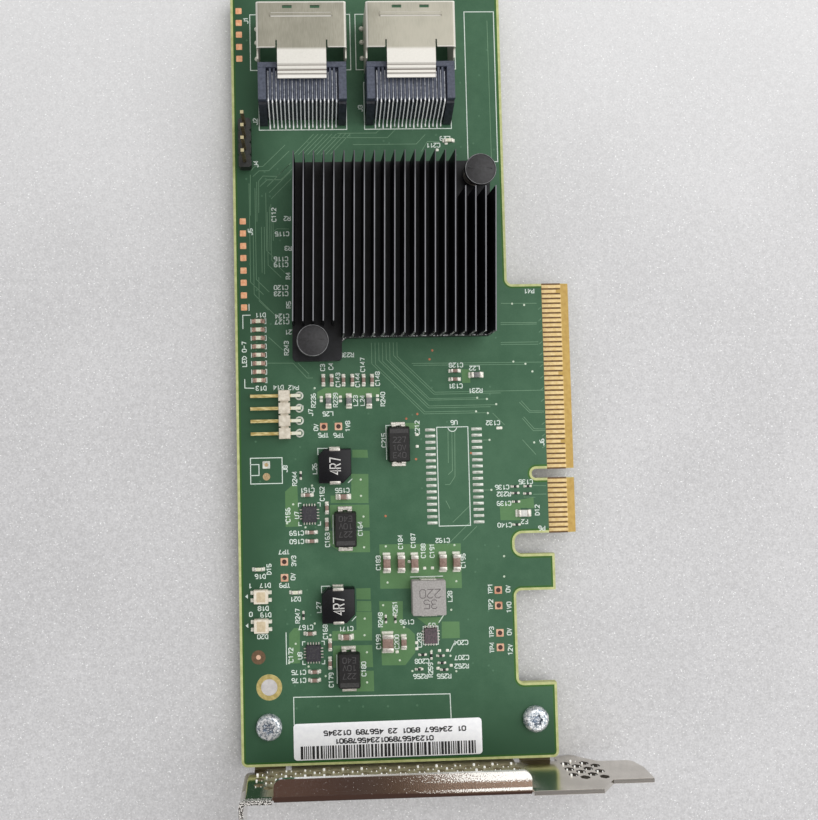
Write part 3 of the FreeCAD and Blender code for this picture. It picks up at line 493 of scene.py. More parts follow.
def bracketRecipe(dye):  # bright plating; the flange is grained, with painted sparkle and a painted highlight along its free edge; painted reflections tint the flange, tab and inner face; a painted dark reflection runs along the bend; painted shade under the board and in the vent bores; cut edges are dull
    x, y, z = dye.axes()
    flangeStart, flangeEnd, flangeLow, tipStart = 6.7, 55.3, 13.2, 71.6
    drawn, grain, cloud = dye.noise(0.15, 2, (0.06, 1, 1)), dye.noise(0.2, 2), dye.noise(6.0, 2)
    top = (z - flangeLow).between(0.0, 0.3)
    flange = top * (flangeEnd - x).between(0.0, 0.3) * (x - flangeStart).between(0.0, 0.2)
    tab = top * (flangeStart - x).between(0.0, 0.2)
    # painted sparkle: grain spots turned near white, gathered in two bands across the flange and on the tab
    band = (y - 0.5).between(0.0, 1.0) + (0.4 - abs(y + 0.5)).between(0.0, 0.25)
    strength = (band * x.between(24, 56) * flange + 0.5 * tab).capped()
    sparkle = (grain + 0.42 * strength).between(0.68, 0.76)
    # painted highlight along the flange's free edge
    lipHighlight = (y - 2.55).between(0.0, 0.1) * flange
    # painted dark brown reflection along the flange's bend edge
    rim = (-0.5 - 0.5 * x.between(26, 44) - y).between(0.0, 0.1) * flange
    # painted reflection of the board edge and floor on the inner face below the flange
    face = (x - 4.0).between(0.0, 2.5) * (y + 1.25).between(0.0, 0.1) * (-0.9 - y).between(0.0, 0.05)
    inside = face * (58 - x).between(0.0, 5.0) * (13 - z).between(0.0, 0.3)
    bodyEdge = (z - 14.4).between(0.0, 0.05) * (x - flangeEnd).between(0.0, 0.1)
    edges = bodyEdge + (z - 9.99).between(0.0, 0.04) * (x - tipStart).between(0.0, 0.1)
    # painted shade on the vent bore walls
    within = (-1.03 - y).between(0.0, 0.03) * (y + 1.83).between(0.0, 0.03)
    bores = within * (tipStart - 0.1 - x).between(0.0, 0.1) * (9.4 - z).between(0.0, 0.2)
    bores = bores * (z + 2.2).between(0.0, 0.2)
    cut = (edges * (0.46 - abs(y + 1.43)).between(0.0, 0.1) + bores).capped()
    # painted shade and reflection on the metal under the board
    under = (y + 0.97).between(0.0, 0.06) * (-0.3 - z).between(0.0, 0.2)
    plating = cloud.between(0.3, 0.7).blend(tone(202, 197, 189), tone(222, 217, 209))
    # painted reflections: the flange grades from near white to brown, the tab takes the board's green
    folded = x.between(8, 30).blend(tone(242, 247, 254), tone(146, 126, 112))
    sheet = tab.blend(flange.blend(plating, folded), tone(70, 82, 72))
    lit = (sparkle + 0.5 * lipHighlight).capped().blend(inside.blend(sheet, tone(172, 164, 134)), tone(255, 252, 246))
    # painted shade in the bores, darkest in the end cluster
    bored = x.between(60, 62).blend(tone(140, 132, 104), tone(80, 76, 70))
    dulled = under.blend(cut.blend(lit, bores.blend(tone(108, 105, 102), bored)), tone(88, 78, 50))
    metal = (5.0 * rim).capped().blend(dulled, tone(62, 38, 27))
    bare = 1.0 - 0.8 * sparkle - 0.85 * inside - 0.9 * rim - 0.6 * bores - 0.8 * under
    rough = 0.07 + 0.06 * drawn + 0.1 * x.between(22, 50) + 0.25 * inside + 0.8 * rim + 0.4 * under
    return {"Base Color": metal, "Metallic": bare, "Roughness": rough,
            "Normal": dye.bump(drawn * 0.15 + grain * x.between(18, 46) * flange, 0.6, 0.04)}


def screwRecipe(dye):  # zinc plating with a coarse bright grain, with painted shade down in the recess
    x, y, z = dye.axes()
    cardLine, apart, row, recess = 32.46, 26.85, 7.85, 1.5
    grain, cloud = dye.noise(0.22, 2), dye.noise(0.5, 2)
    out = (abs(abs(x - cardLine) - apart) ** 2 + (y - row) ** 2) ** 0.5  # from the nearer screw's middle
    # painted shade down in the six-lobed recess
    sunk = (recess - out).between(0.0, 0.1) * (1.32 - z).between(0.0, 0.2) * (1.0 - grain).between(0.34, 0.58)
    plating = (cloud * 0.5 + grain * 0.5).between(0.38, 0.6).blend(tone(120, 134, 146), tone(244, 247, 250))
    return {"Base Color": sunk.blend(plating, tone(112, 126, 144)), "Roughness": 0.1 + 0.2 * cloud,
            "Normal": dye.bump(grain, 0.7, 0.06)}


def legRecipe(dye):  # gilt posts, tinned where they bend down to the board
    x = dye.axes()[0]
    patch = dye.noise(0.4, 2, (0.3, 1, 1))
    post = patch.between(0.3, 0.7).blend(tone(168, 146, 84), tone(218, 202, 148))
    bent = x.between(10.9, 11.3)
    return {"Base Color": bent.blend(post, tone(222, 222, 204)), "Roughness": 0.25 + 0.2 * patch}


def headerRecipe(dye):  # dark brass-coloured posts with a painted highlight on their tips
    z = dye.axes()[2]
    patch = dye.noise(0.5, 2)
    post = patch.between(0.3, 0.7).blend(tone(64, 58, 42), tone(122, 110, 80))
    # painted highlight on the top of each pin
    tip = z.between(9.3, 9.48)
    return {"Base Color": tip.blend(post, tone(180, 170, 134)), "Roughness": 0.3 + 0.2 * patch}


def leadRecipe(dye):  # tinned spring wire, with painted shade along the grooves and painted light on the slope down to the board
    y = dye.axes()[1]
    patch, each = dye.noise(0.5, 2), dye.noise(1.1, 1, (1, 0.02, 0.02))
    # painted shade along the grooves, painted light on the slope
    level = patch.between(0.3, 0.7).blend(tone(128, 131, 140), tone(196, 199, 206))
    bright = each.between(0.35, 0.6).blend(tone(218, 220, 224), tone(255, 255, 255))
    slope = (133.6 - y).between(0.0, 1.2)
    return {"Base Color": slope.blend(level, bright), "Roughness": 0.25 + 0.15 * patch}


leadTin = finish("leadTin", leadRecipe, Metallic=0.05)
sinkBlack = finish("blackAnodised", sinkRecipe, **{"Specular IOR Level": 0.3})
cageNickel = finish("cageNickel", cageRecipe)
bracketNickel = finish("bracketNickel", bracketRecipe)
screwNickel = finish("screwNickel", screwRecipe, Metallic=0.6)
ringGold = paint("ringGold", (204, 186, 122), (164, 146, 84), 0.7, (0.4, 0.55), 0.2, 0.01, Metallic=0.25)
pinDull = finish("pinDull", headerRecipe, Metallic=0.4)
pinBrass = finish("pinBrass", legRecipe, Metallic=0.5)
holeLightFill = paint("holeLightFill", (206, 202, 200), (182, 178, 177), 0.9, (0.5, 0.6))

cadFinishes = {
    "printed_circuit_board": laminate, "edge_contacts_solder_side": fingerGold,
    "controller_chip": epoxyBlack, "thermal_pad": padGrey,
    "port_cage_left": cageNickel, "port_cage_right": cageNickel,
    "upright_header_body": blackPlastic, "upright_header_pins": pinDull,
    "angle_header_pins": pinBrass, "mounting_bracket": bracketNickel,
}
for node, material in cadFinishes.items():
    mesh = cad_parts[node].data
    mesh.materials.clear()
    mesh.materials.append(material)
print("finishes ready:", len(bpy.data.materials))


# Board skins: varnish over the laminate, short of every edge, and the bare metal that it leaves open

skin = {"rim": 0.5, "band": 0.35, "thickness": 0.02, "bandShare": 0.6, "board": 1.57, "hole": 2.6,
        "holePlace": (5.75, 15.6), "contactEdge": 63.3}
boardCorners = (
    (0, 0, 1.2), (63.9, 0, 1.2), (63.9, 14.97, 0), (56.15, 14.97, 1.1), (56.15, 33.52, 1.1),
    (64.3, 33.52, 0), (64.3, 40.82, 0), (56.15, 40.82, 1.6), (56.15, 45.05, 1.6), (68.9, 45.05, 0),
    (68.9, 56.2, 0), (60.1, 56.2, 0.91), (60.1, 58.1, 0.91), (68.9, 58.1, 0), (68.9, 96.25, 0),
    (56.15, 96.25, 1.1), (56.15, 158, 1.2), (0, 158, 1.2),
)
groundHole = circle(skin["hole"], 40) + skin["holePlace"]


def skinOutline(inset):  # board outline moved in from the edges, cut off straight where the contacts begin
    corners = insetCorners(boardCorners, inset)
    corners[:, 0] = np.minimum(corners[:, 0], skin["contactEdge"])
    for ear in (1, 5):  # two ears without contacts reach past that line
        corners[ear:ear + 2, 0] = boardCorners[ear][0] - inset
    return rounded(corners.tolist())


def bothFaces(thickness):  # low and high of a layer on the component face, then on the solder face
    return (0, thickness), (-skin["board"] - thickness, -skin["board"])


band, varnish = Mould(), Mould()
for low, high in bothFaces(skin["bandShare"] * skin["thickness"]):
    plate(band, skinOutline(skin["rim"]), [groundHole], low, high)
for low, high in bothFaces(skin["thickness"]):
    plate(varnish, skinOutline(skin["rim"] + skin["band"]), [groundHole], low, high)
finishPiece("solder_mask_edge", band, maskEdge)
finishPiece("solder_mask", varnish, maskGreen)

copper = {"floor": 0.02, "pour": 0.03, "trace": 0.032, "traceWidth": 0.12, "pad": 0.05}
pours = (
    ((9.6, 54.6), (11.1, 55.9), (12.1, 55.7), (12.2, 51.8), (12.4, 47.5), (9.6, 47.5)),
    ((23.4, 62.8), (26.5, 62.7), (26.6, 61.1), (23.4, 61.2)),
    ((23.1, 57.9), (26.6, 57.8), (26.5, 51.9), (18.8, 52.1), (18.8, 53.6), (23, 53.5)),
    ((18.6, 51.7), (26.6, 51.6), (26.6, 47), (24.3, 47), (18.8, 47.1)),
    ((24.3, 46.4), (26.6, 46.3), (26.6, 42), (20.7, 42.1), (18.3, 43.8), (18.4, 46.5)),
    ((9.9, 26.1), (10.9, 27.2), (12.1, 27.2), (12, 20.2), (9.8, 20.2)),
    ((23.6, 34.8), (26.5, 34.8), (26.5, 32.5), (23.6, 32.6)),
    ((23.7, 32.3), (26.6, 32.2), (26.6, 30.1), (23.6, 30.2)),
    ((23.5, 30.1), (26.7, 30), (26.6, 24.3), (18.5, 24.5), (18.6, 26.4), (23.5, 26.5)),
    ((18.7, 23.5), (26.6, 23.4), (26.7, 19), (18.6, 19.1)),
    ((24.5, 18.3), (26.8, 18.3), (26.8, 14.2), (21.1, 14.3), (20.2, 18.4)),
    ((28.5, 43.5), (45.1, 43.3), (45.1, 34.3), (28.5, 34.6)),
    ((28.2, 32.1), (33, 32), (32.9, 26.9), (34.1, 26.5), (35.3, 25.3), (35.3, 21.7), (33.2, 19.2),
     (28.5, 19.3)),
    ((35.8, 28.6), (41.3, 28.6), (39.9, 27), (37.8, 27)),
    ((40.8, 27.7), (44.4, 27.6), (44.4, 24.3), (40.7, 24.3)),
    ((16.5, 74.7), (18.1, 75.6), (29.3, 75.4), (29.3, 73.6), (25.9, 73.3), (16.5, 73.4)),
    ((46.2, 78.8), (48, 78.8), (48, 76), (46.3, 76)),
    ((53.3, 51.2), (60.3, 52.3), (60.4, 50.1), (57.6, 50.2), (57.5, 47.7), (53.4, 47.8)),
    ((34.4, 68), (37.1, 68), (37.2, 66.8), (34.3, 66.8)),
)
pouring = Mould()
for outline in pours:
    loft(pouring, np.array(outline)[::-1], [(0, copper["floor"]), (0, copper["pour"])])
finishPiece("copper_pours", pouring, copperGreen)

traces = [
    ((53.6, 152), (53.7, 122.6)), ((21.7, 128.3), (29.8, 128.3), (31.3, 129.8)),
    ((20.4, 127.4), (32.1, 127.3), (34.2, 129.4)), ((24.9, 125.9), (38.1, 125.9), (40, 127.9)),
    ((39.1, 124.3), (40.4, 126.4), (42.9, 126.3)), ((3.6, 119.8), (3.5, 111.3)), ((4.9, 118.3), (4.8, 110)),
    ((5.2, 111.8), (5.3, 118.5), (6.2, 119.5), (9.1, 119.4), (12, 122.2)),
    ((4, 108.3), (4, 95), (5.7, 93.2), (8.4, 90.4)), ((5.7, 108.9), (5.7, 99.4)),
    ((6.3, 108.9), (6.2, 99.1)), ((7.4, 113.1), (7.4, 103.9)), ((8.1, 110.3), (8.1, 106)),
    ((3.8, 120.7), (4.5, 121.5), (6.2, 121.5), (10.9, 126)),
    ((4.1, 119.4), (5.4, 120.6), (7.4, 120.6), (11.7, 124.7)), ((7, 117.3), (11.6, 121.8)),
    ((7.4, 116), (11.8, 120.3)), ((7.8, 114.7), (12, 118.9)),
    ((5.5, 117.3), (7, 118.7), (9.9, 118.7), (12.2, 120.9)), ((8, 107.8), (8.9, 108.5), (11.4, 108.4)),
    ((5, 98.5), (5, 93.6), (6.9, 91.7)), ((6.3, 80.8), (11.7, 80.7), (14.5, 77.6), (15.7, 77.6)),
    ((12.7, 80.7), (14.9, 78.4)), ((6.8, 86.1), (9.7, 83.4)), ((36, 80.2), (63.2, 80)),
    ((36.3, 79.8), (59.7, 79.6)), ((58.4, 72.1), (60.2, 70), (63, 69.9)),
    ((58, 71.8), (60, 69.7), (63, 69.6)), ((58.8, 68.8), (60.9, 66.3), (63.1, 66.2)),
    ((58.5, 68.5), (60.7, 65.9), (63.1, 65.9)), ((58.4, 64.1), (61.1, 61)), ((52.4, 69.7), (54.8, 67.2)),
    ((54.8, 92.3), (62.2, 92.2)), ((54.6, 88.3), (62.1, 88.2)), ((54.6, 87.9), (62.1, 87.9)),
    ((54.5, 84.2), (62.3, 84.2)), ((54.5, 83.8), (62.3, 83.7)), ((43.9, 66.2), (43.8, 58.1), (42.9, 57.3)),
    ((44.5, 66.2), (44.3, 56.9), (43.2, 55.3), (42.2, 55.3)), ((43.1, 66.2), (43, 59.7)),
    ((50.2, 64.2), (51.6, 64.2)), ((50.1, 54), (51.7, 54)), ((42.3, 52), (43.1, 50.4)),
    ((43.6, 47.6), (47.4, 51.1)), ((42.3, 43), (47.3, 47.7)), ((60.2, 54.7), (63, 54.6)),
    ((60.3, 52.9), (63, 52.9)), ((58.3, 52.4), (60.7, 52.3)), ((45.6, 43.9), (48.5, 46.7)),
]
pairs = (
    (69.8, 108.1, 51), (70.2, 108.7, 49), (71, 110.2, 52), (71.4, 110.8, 53.2), (72.6, 111.9, 51.3),
    (72.9, 112.4, 49.3), (73.8, 114.2, 54.2), (74.2, 114.8, 63.1),
)
pairRun = {"first": 27.8, "pitch": 0.75, "high": 84.6}
for i, (y, total, end) in enumerate(pairs):  # down, at 45 degrees where x + y stays the same, then across
    x = pairRun["first"] + pairRun["pitch"] * i
    traces.append(((x, pairRun["high"]), (x, total - x), (total - y, y), (end, y)))
fan = {"count": 9, "start": (12.6, 123.9), "pitch": (0.95, 0), "reach": (4.2, 4.3)}  # heat sink to ports
branch = {"count": 13, "start": (62.5, 90.9), "pitch": (0, -2.38), "reach": (0.6, 0.5)}  # beside the contacts
sideRuns = ((4.5, 117, 98), (6.7, 116, 104), (6.95, 112, 101), (3.3, 118, 97.5), (7.7, 113.6, 102))
sideTurn = 2.6


def sideBySide(run):  # equal straight lines at an even pitch
    starts = np.array(run["start"]) + np.arange(run["count"])[:, None] * run["pitch"]
    return list(np.stack([starts, starts + run["reach"]], 1))


traces += sideBySide(fan)
for x, high, low in sideRuns:
    traces.append(((x, high), (x, low), (x + sideTurn, low - sideTurn)))
traces += sideBySide(branch)
wiring = Mould()
for path in traces:
    ribbon(wiring, path, copper["traceWidth"], copper["floor"], copper["trace"])
finishPiece("copper_traces", wiring, traceGreen)

viaPlaces = [
    (57.1, 92.2), (59.6, 91.9), (57, 80.2), (59.5, 79.7), (60.9, 78.1), (51.6, 64.2), (51.7, 54),
    (60.8, 63.5), (49.3, 72.9), (51.3, 72.6), (53.2, 71.5), (49, 70.1), (51.4, 69.7), (11.2, 52),
    (9.9, 48.2), (13.6, 47.3), (25, 56.7), (25, 53.4), (25.4, 49.2), (25.4, 43), (15.1, 55.7), (25.2, 28.7),
    (25.1, 25.4), (25.5, 22), (25.4, 16), (11.2, 24.1), (9.8, 20.3), (13.7, 19.5), (15.1, 28), (17.1, 17.5),
    (18.2, 25.6), (29.8, 43.1), (43.8, 43), (30, 35.8), (44, 35.7), (29, 31.3), (32.1, 20.2), (42.8, 30),
    (33.1, 26.8), (34.6, 18), (43.5, 17.7), (42.4, 20.8), (38.6, 21.9), (53.9, 40.5), (53.8, 36.4),
    (16, 75.5),
]
studs = {  # radius, inner radius, heights of floor, shoulder and top
    "via": (0.22, 0.12, (copper["floor"], 0.03, 0.042)),
    "coveredVia": (0.22, 0.12, (copper["floor"], 0.028, 0.034)),
    "labelVia": (0.24, 0.12, (copper["floor"], 0.03, 0.036)),
    "bore": (0.48, 0.2, (copper["floor"], 0.03, 0.026)),
    "smallBore": (0.4, 0.2, (copper["floor"], 0.03, 0.026)),
    "sight": (0.48, 0.35, (copper["floor"], 0.04, 0.05)),
    "dot": (0.24, 0.12, (copper["floor"], 0.04, 0.045)),
}
vias, faintVias = Mould(), Mould()
stud(vias, *studs["via"], viaPlaces, 12)
finishPiece("via_pads", vias, viaTin)
covered = {"seed": 7, "low": (2.5, 12), "high": (54.5, 154), "tries": 420, "kept": 90}
chance = np.random.default_rng(covered["seed"])
scatter = chance.uniform(covered["low"], covered["high"], (covered["tries"], 2))
blocked = (
    (10.5, 53, 80, 122), (4, 46, 128, 153), (17, 37, 14, 66), (28, 46, 19, 46), (40, 51, 46, 68),
    (0, 13, 66, 78),
)
free = np.ones(len(scatter), bool)
for left, right, near, far in blocked:
    free &= ~((scatter > (left, near)) & (scatter < (right, far))).all(1)
stud(faintVias, *studs["coveredVia"], scatter[free][:covered["kept"]], 10)
underLabel = ((11.15, 11.3), (15.45, 11.55), (19.7, 11.45), (24.5, 11.25), (29.5, 11.15), (35.4, 11.15))
stud(faintVias, *studs["labelVia"], underLabel, 10)
finishPiece("covered_vias", faintVias, viaGreen)

openPads = {"edge": 1.25, "test": 1.5, "round": 0.75, "lone": (0.62, 0.55), "rowWidth": 0.56,
            "sight": (3.69, 21.6)}
testPads = (
    (17.7, 67.6), (20.7, 67.6), (9.2, 40.5), (9.2, 37.3), (52.5, 33.7), (52.5, 30.6), (52.6, 25.1),
    (52.6, 22.2),
)
lonePads = (
    (17.3, 73.6), (17.3, 72.9), (21.2, 73.6), (21.2, 72.8), (28.8, 73.7), (28.8, 72.9), (36.7, 65.6),
    (36.7, 63.2), (34.5, 39.9), (37.6, 38.5), (39.2, 38.5), (53.4, 66.6), (54, 66.6), (31.6, 21.9),
    (35.6, 23.6), (35.6, 22.4), (36.2, 18.4), (39.8, 18.4), (42.5, 18.9), (41.8, 21.9), (40.2, 21.9),
    (44.3, 126), (42.4, 124.6),
)
angleHeader = {"place": (12.8, 70.2), "pins": 4, "pitch": 2.54, "pad": (0.88, 0.56), "cell": 1.1,
               "across": (8.65, 10.95), "top": 2.54, "web": ((9.0, 66.2, 0.05), (10.6, 74.2, 2.1))}
uprightHeader = {"place": (2.7, 125.8), "pins": 4, "pitch": 2.54}


def pinPlaces(header):  # places of a header's pins, in one row along the card
    x, y = header["place"]
    steps = (np.arange(header["pins"]) - (header["pins"] - 1) / 2) * header["pitch"]
    return [(x, y + step) for step in steps]


def boredPad(mould, place, hole):  # square test pad with a round hole
    plate(mould, rectangle(openPads["test"], openPads["test"], 0.1, 2) + place, [circle(hole, 20) + place],
          copper["floor"], copper["pad"])


bare, gilt, boreShadeDiscs = Mould(), Mould(), Mould()
silver, dull, tarnished = Mould(), Mould(), Mould()
edgePads = [(1.7, y) for y in (154.3, 151.8, 149.3, 146.7, 144.2)]
edgePads += [(1.9, y) for y in (110.1, 107.6, 105, 102.5, 99.9, 97.4, 94.8, 92.3)]
tile(bare, (openPads["edge"], openPads["edge"]), 0.12, (copper["floor"], 0.04, copper["pad"]), 0.06, edgePads)
for place in testPads:
    boredPad(gilt, place, studs["bore"][0])
# painted shade: a dark disc in each test pad's hole
stud(boreShadeDiscs, *studs["bore"], testPads, 20)
footprint = ((5.9, 60.1), (5.9, 57.7))
small = studs["smallBore"][0]
boredPad(dull, footprint[0], small)
plate(tarnished, circle(openPads["round"], 24) + footprint[1], [circle(small, 20) + footprint[1]],
      copper["floor"], copper["pad"])
stud(tarnished, *studs["smallBore"], footprint, 20)
padRows = np.linspace(66.5, 47.57, 16)
for left, right in ((38.4, 40.45), (47.9, 50.05)):  # two rows of an empty footprint
    tile(dull, (right - left, openPads["rowWidth"]), 0.08, (copper["floor"], 0.05, 0.09), 0.12,
         np.c_[np.full(len(padRows), (left + right) / 2), padRows])
tile(silver, openPads["lone"], 0.1, (copper["floor"], 0.05, 0.08), 0.1, lonePads)
stud(gilt, *studs["sight"], (openPads["sight"],), 20)
plating, holeLightMould, dots, halo = Mould(), Mould(), Mould(), Mould()
for low, high in bothFaces(copper["pad"]):
    washer(plating, skin["holePlace"], skin["hole"] - 0.05, 1.65, low, high, 40)
# painted light: a pale plug in the ground hole stands for the lit floor seen through it
holeLightProfile = ((1.38, -1.5), (1.38, 0.0), (1.63, 0.01), (1.63, 0.03), (1.3, 0.02), (0.4, 0.0))
lathe(holeLightMould, holeLightProfile, (skin["holePlace"],), 40)
finishPiece("hole_plating", plating, ringGold, ("hole_ring",))
finishPiece("hole_light_plug", holeLightMould, holeLightFill)
dotPlaces = ((40.3, 82.8), (39.7, 81.0), (36.9, 69.8), (34.6, 68.9), (36.4, 60.6), (47.7, 61.6), (29.9, 49.2))
stud(dots, *studs["dot"], dotPlaces, 12)
washer(halo, openPads["sight"], 1.42, 0.52, copper["floor"], 0.026, 32)
finishPiece("sighting_mark", halo, markRing)
for place in pinPlaces(angleHeader):  # plated rings round the legs
    washer(dull, place, *angleHeader["pad"], copper["floor"], 0.06, 24)
finishPiece("copper_dots", dots, dotCopper)
finishPiece("bare_copper_pads", bare, copperPad)
finishPiece("gilt_pads", gilt, testPad)
finishPiece("pad_bore_shade", boreShadeDiscs, boreShade)
finishPiece("tarnished_pads", tarnished, agedGold)
finishPiece("tinned_pads", silver, silverPad)
finishPiece("empty_pads", dull, dullPad)

fingers = {"inner": 63.3, "length": 4.0, "width": 0.62, "cut": 1.0, "short": (17, 31, 48), "key": 57.15,
           "keyGap": 1.5, "counts": (11, 38), "runs": ((45.1, 56.15), (58.15, 96.2)),
           "bevel": ((67.6, 0.0), (68.89, -0.34))}
near, far = fingers["counts"]
rows = np.r_[fingers["key"] - fingers["keyGap"] - np.arange(near)[::-1],
             fingers["key"] + fingers["keyGap"] + np.arange(far)]
pads, bars, strips = Mould(), Mould(), Mould()
inner, outer = fingers["inner"], fingers["inner"] + fingers["length"]
full = np.array([i + 1 not in fingers["short"] for i in range(len(rows))])
for chosen, end in ((full, outer), (~full, outer - fingers["cut"])):
    loft(pads, rectangle(end - inner, fingers["width"], 0.1, 3), [(0, 0.008), (0, 0.035), (0.05, 0.05)],
         np.c_[np.full(chosen.sum(), (inner + end) / 2), rows[chosen]])
gaps = np.r_[rows[:near] + 0.5, rows[near:] - 0.5, rows[-1] + 0.5, rows[0] - 0.5]
loft(bars, rectangle(outer - inner - 0.15, 0.3), [(0, 0.008), (0, 0.02)],
     np.c_[np.full(len(gaps), (inner + outer) / 2 - 0.05), gaps])
for near, far in fingers["runs"]:  # bare amber edge: flat under the pads, then down the bevel
    sweepY(strips, strip([(inner, 0.0), *fingers["bevel"]], 0.016), near, far)
finishPiece("contact_fingers", pads, fingerGold, ("edge_contacts_component_side",))
finishPiece("contact_gaps", bars, gapBrown)
finishPiece("contact_edge_strip", strips, amberStrip)
print("board skins, copper and pads done")

# Ink: frames, rules and reference marks

ink = {"floor": 0.03, "top": 0.05, "rule": 0.17, "height": 0.84, "stroke": 0.18}
strokes = {  # column and row of each point; a slash lifts the pen
    "0": "10 30 41 45 36 16 05 01 10", "1": "05 26 20", "2": "05 16 36 45 44 00 40",
    "3": "05 16 36 45 44 33 13/33 42 41 30 10 01", "4": "30 36 02 42", "5": "46 06 03 33 42 41 30 10 01",
    "6": "36 16 05 01 10 30 41 42 33 03", "7": "06 46 20",
    "8": "33 44 45 36 16 05 04 13 33 42 41 30 10 01 02 13", "9": "10 30 41 45 36 16 05 04 13 43",
    "C": "45 36 16 05 01 10 30 41", "D": "00 06 26 44 42 20 00", "E": "46 06 00 40/03 33",
    "F": "46 06 00/03 33", "J": "46 41 30 10 01", "L": "06 00 40", "P": "00 06 36 45 44 33 03",
    "R": "00 06 36 45 44 33 03/23 40", "T": "06 46/26 20", "U": "06 01 10 30 41 46", "V": "06 20 46",
    "-": "03 43", " ": "",
}
letterGrid = {"columns": 4, "rows": 6, "advance": 5.3}


def write(mould, text, place, angle, height, width, low, high, squeeze=1.0):  # pen strokes on the letter grid
    unit = height / letterGrid["rows"]
    centre = np.array([letterGrid["columns"] / 2, letterGrid["rows"] / 2])
    turn = math.radians(angle)
    right = squeeze * np.array([math.cos(turn), math.sin(turn)])
    up = np.array([-math.sin(turn), math.cos(turn)])
    for i, letter in enumerate(text):
        for stroke in filter(None, strokes[letter].split("/")):
            spots = np.array([(int(spot[0]), int(spot[1])) for spot in stroke.split()], float)
            spots += (letterGrid["advance"] * (i - (len(text) - 1) / 2), 0) - centre
            ribbon(mould, place + unit * (spots[:, :1] * right + spots[:, 1:] * up), width, low, high)


marks = {
    90: (
        (3.2, 152.3, "J1"), (4.8, 130.9, "J2"), (26.6, 133.5, "J3"), (4.8, 122, "J4"), (8.3, 111.4, "C112"),
        (11, 98.7, "R4"), (11, 92.7, "R5"), (3.4, 107.9, "J5"), (62.4, 63.5, "J6"), (61, 49.7, "D12"),
        (17.7, 79.7, "C3"), (19.4, 79.9, "C4"), (20.8, 77.1, "C143"), (24.8, 77, "C144"),
        (25.9, 80.1, "C147"), (28.9, 77.2, "C148"), (15.7, 73, "R236"), (20.2, 73, "R239"),
        (24.3, 72.8, "L23"), (25.7, 72.8, "L24"), (29.9, 73, "R240"), (15.1, 70.5, "J7"),
        (16.1, 67.5, "0V"), (22.6, 67.6, "1V8"), (1.8, 82.7, "LED 0-7"), (10.4, 83.8, "R243"),
        (9.7, 59.2, "J8"), (15.7, 59.1, "L26"), (11.6, 57.2, "R244"), (17.1, 54, "C152"),
        (10.1, 49.9, "C156"), (11.9, 49.8, "U7"), (18, 44.7, "C163"), (24.7, 46.8, "C164"),
        (11.1, 40.6, "3V3"), (6.1, 39.1, "D15"), (10.9, 37.5, "0V"), (11.7, 29.6, "R247"),
        (17.2, 26.3, "C168"), (16, 31.2, "L27"), (10.2, 21.9, "C172"), (12, 21.7, "U8"),
        (18.2, 16.7, "C179"), (24.8, 18.7, "C180"), (28.2, 39.8, "C183"), (32.8, 43.9, "C184"),
        (35.4, 44.1, "C187"), (37.4, 42, "C188"), (39.2, 42, "C191"), (45.5, 39.8, "C195"),
        (42.6, 32.7, "L28"), (28.4, 28.4, "R248"), (31.4, 30.6, "R251"), (27.9, 24, "C199"),
        (31.6, 23.9, "C200"), (36.2, 24.1, "C203"), (38.3, 18.1, "R259"), (50.9, 34, "TP1"),
        (50.9, 30.8, "TP2"), (50.9, 25.3, "TP3"), (50.9, 22.2, "TP4"), (54.5, 33.9, "0V"),
        (54.6, 30.2, "1V0"), (54.5, 25.3, "0V"), (54.6, 21.7, "12V"), (36.8, 67, "C212"),
        (29.9, 64.6, "C215"),
    ),
    180: (
        (11, 110.6, "R2"), (9.9, 107.4, "C115"), (11.1, 104.4, "R3"), (9.6, 102.2, "C116"),
        (9.6, 101.0, "C119"), (9.5, 96.3, "C120"), (9.5, 95, "C123"), (9.6, 90.4, "C124"),
        (9.6, 89.2, "C127"), (11.2, 87.1, "L21"), (5.2, 90.7, "D11"), (60.7, 94.8, "P41"),
        (45.1, 79.7, "C128"), (44.9, 75.4, "C131"), (48.9, 79, "L22"), (49, 74.4, "R231"),
        (44.4, 67.9, "U6"), (52.4, 67.7, "C132"), (58.8, 55.5, "C135"), (53.9, 54.5, "C136"),
        (54.2, 53.1, "R232"), (54.2, 51.2, "C139"), (54.2, 46.8, "C140"), (58.3, 47.4, "F2"),
        (61.8, 46, "P6"), (22.7, 82.2, "R235"), (18.6, 70.2, "L25"), (17.6, 65.9, "TP5"),
        (20.7, 65.8, "TP6"), (5.1, 75.7, "D13"), (8.6, 75.8, "D14"), (11.7, 75.7, "P42"),
        (14.1, 54.8, "C151"), (21.2, 54.6, "C155"), (11.8, 46.2, "C159"), (11.8, 44.5, "C160"),
        (9.2, 42.5, "TP7"), (4.3, 37.7, "D16"), (2.2, 35.9, "1"), (5.3, 35.9, "D17"), (4.8, 31.3, "D18"),
        (2.3, 30.2, "0"), (5.3, 30, "D19"), (4.6, 25.7, "D20"), (9.2, 35.8, "TP9"), (11.3, 33, "D21"),
        (13.3, 27.3, "C167"), (21.4, 26.8, "C171"), (11.7, 18.4, "C175"), (11.7, 16.8, "C176"),
        (41.4, 44, "C192"), (33.7, 27.8, "C196"), (38.8, 27, "U9"), (44.6, 23.4, "C204"),
        (44.7, 20.4, "C207"), (44.6, 18.7, "R252"), (41, 16.8, "R255"), (36.2, 16.9, "R256"),
        (36.6, 19.9, "C208"), (44.1, 127, "L29"), (41.6, 125.6, "C211"),
    ),
}
printed = Mould()
for angle, entries in marks.items():
    for x, y, text in entries:
        write(printed, text, np.array([x, y]), angle, ink["height"], ink["stroke"], ink["floor"], ink["top"])


def rule(path, closed=False, width=ink["rule"]):  # one printed line
    ribbon(printed, path, width, ink["floor"], ink["top"], closed)


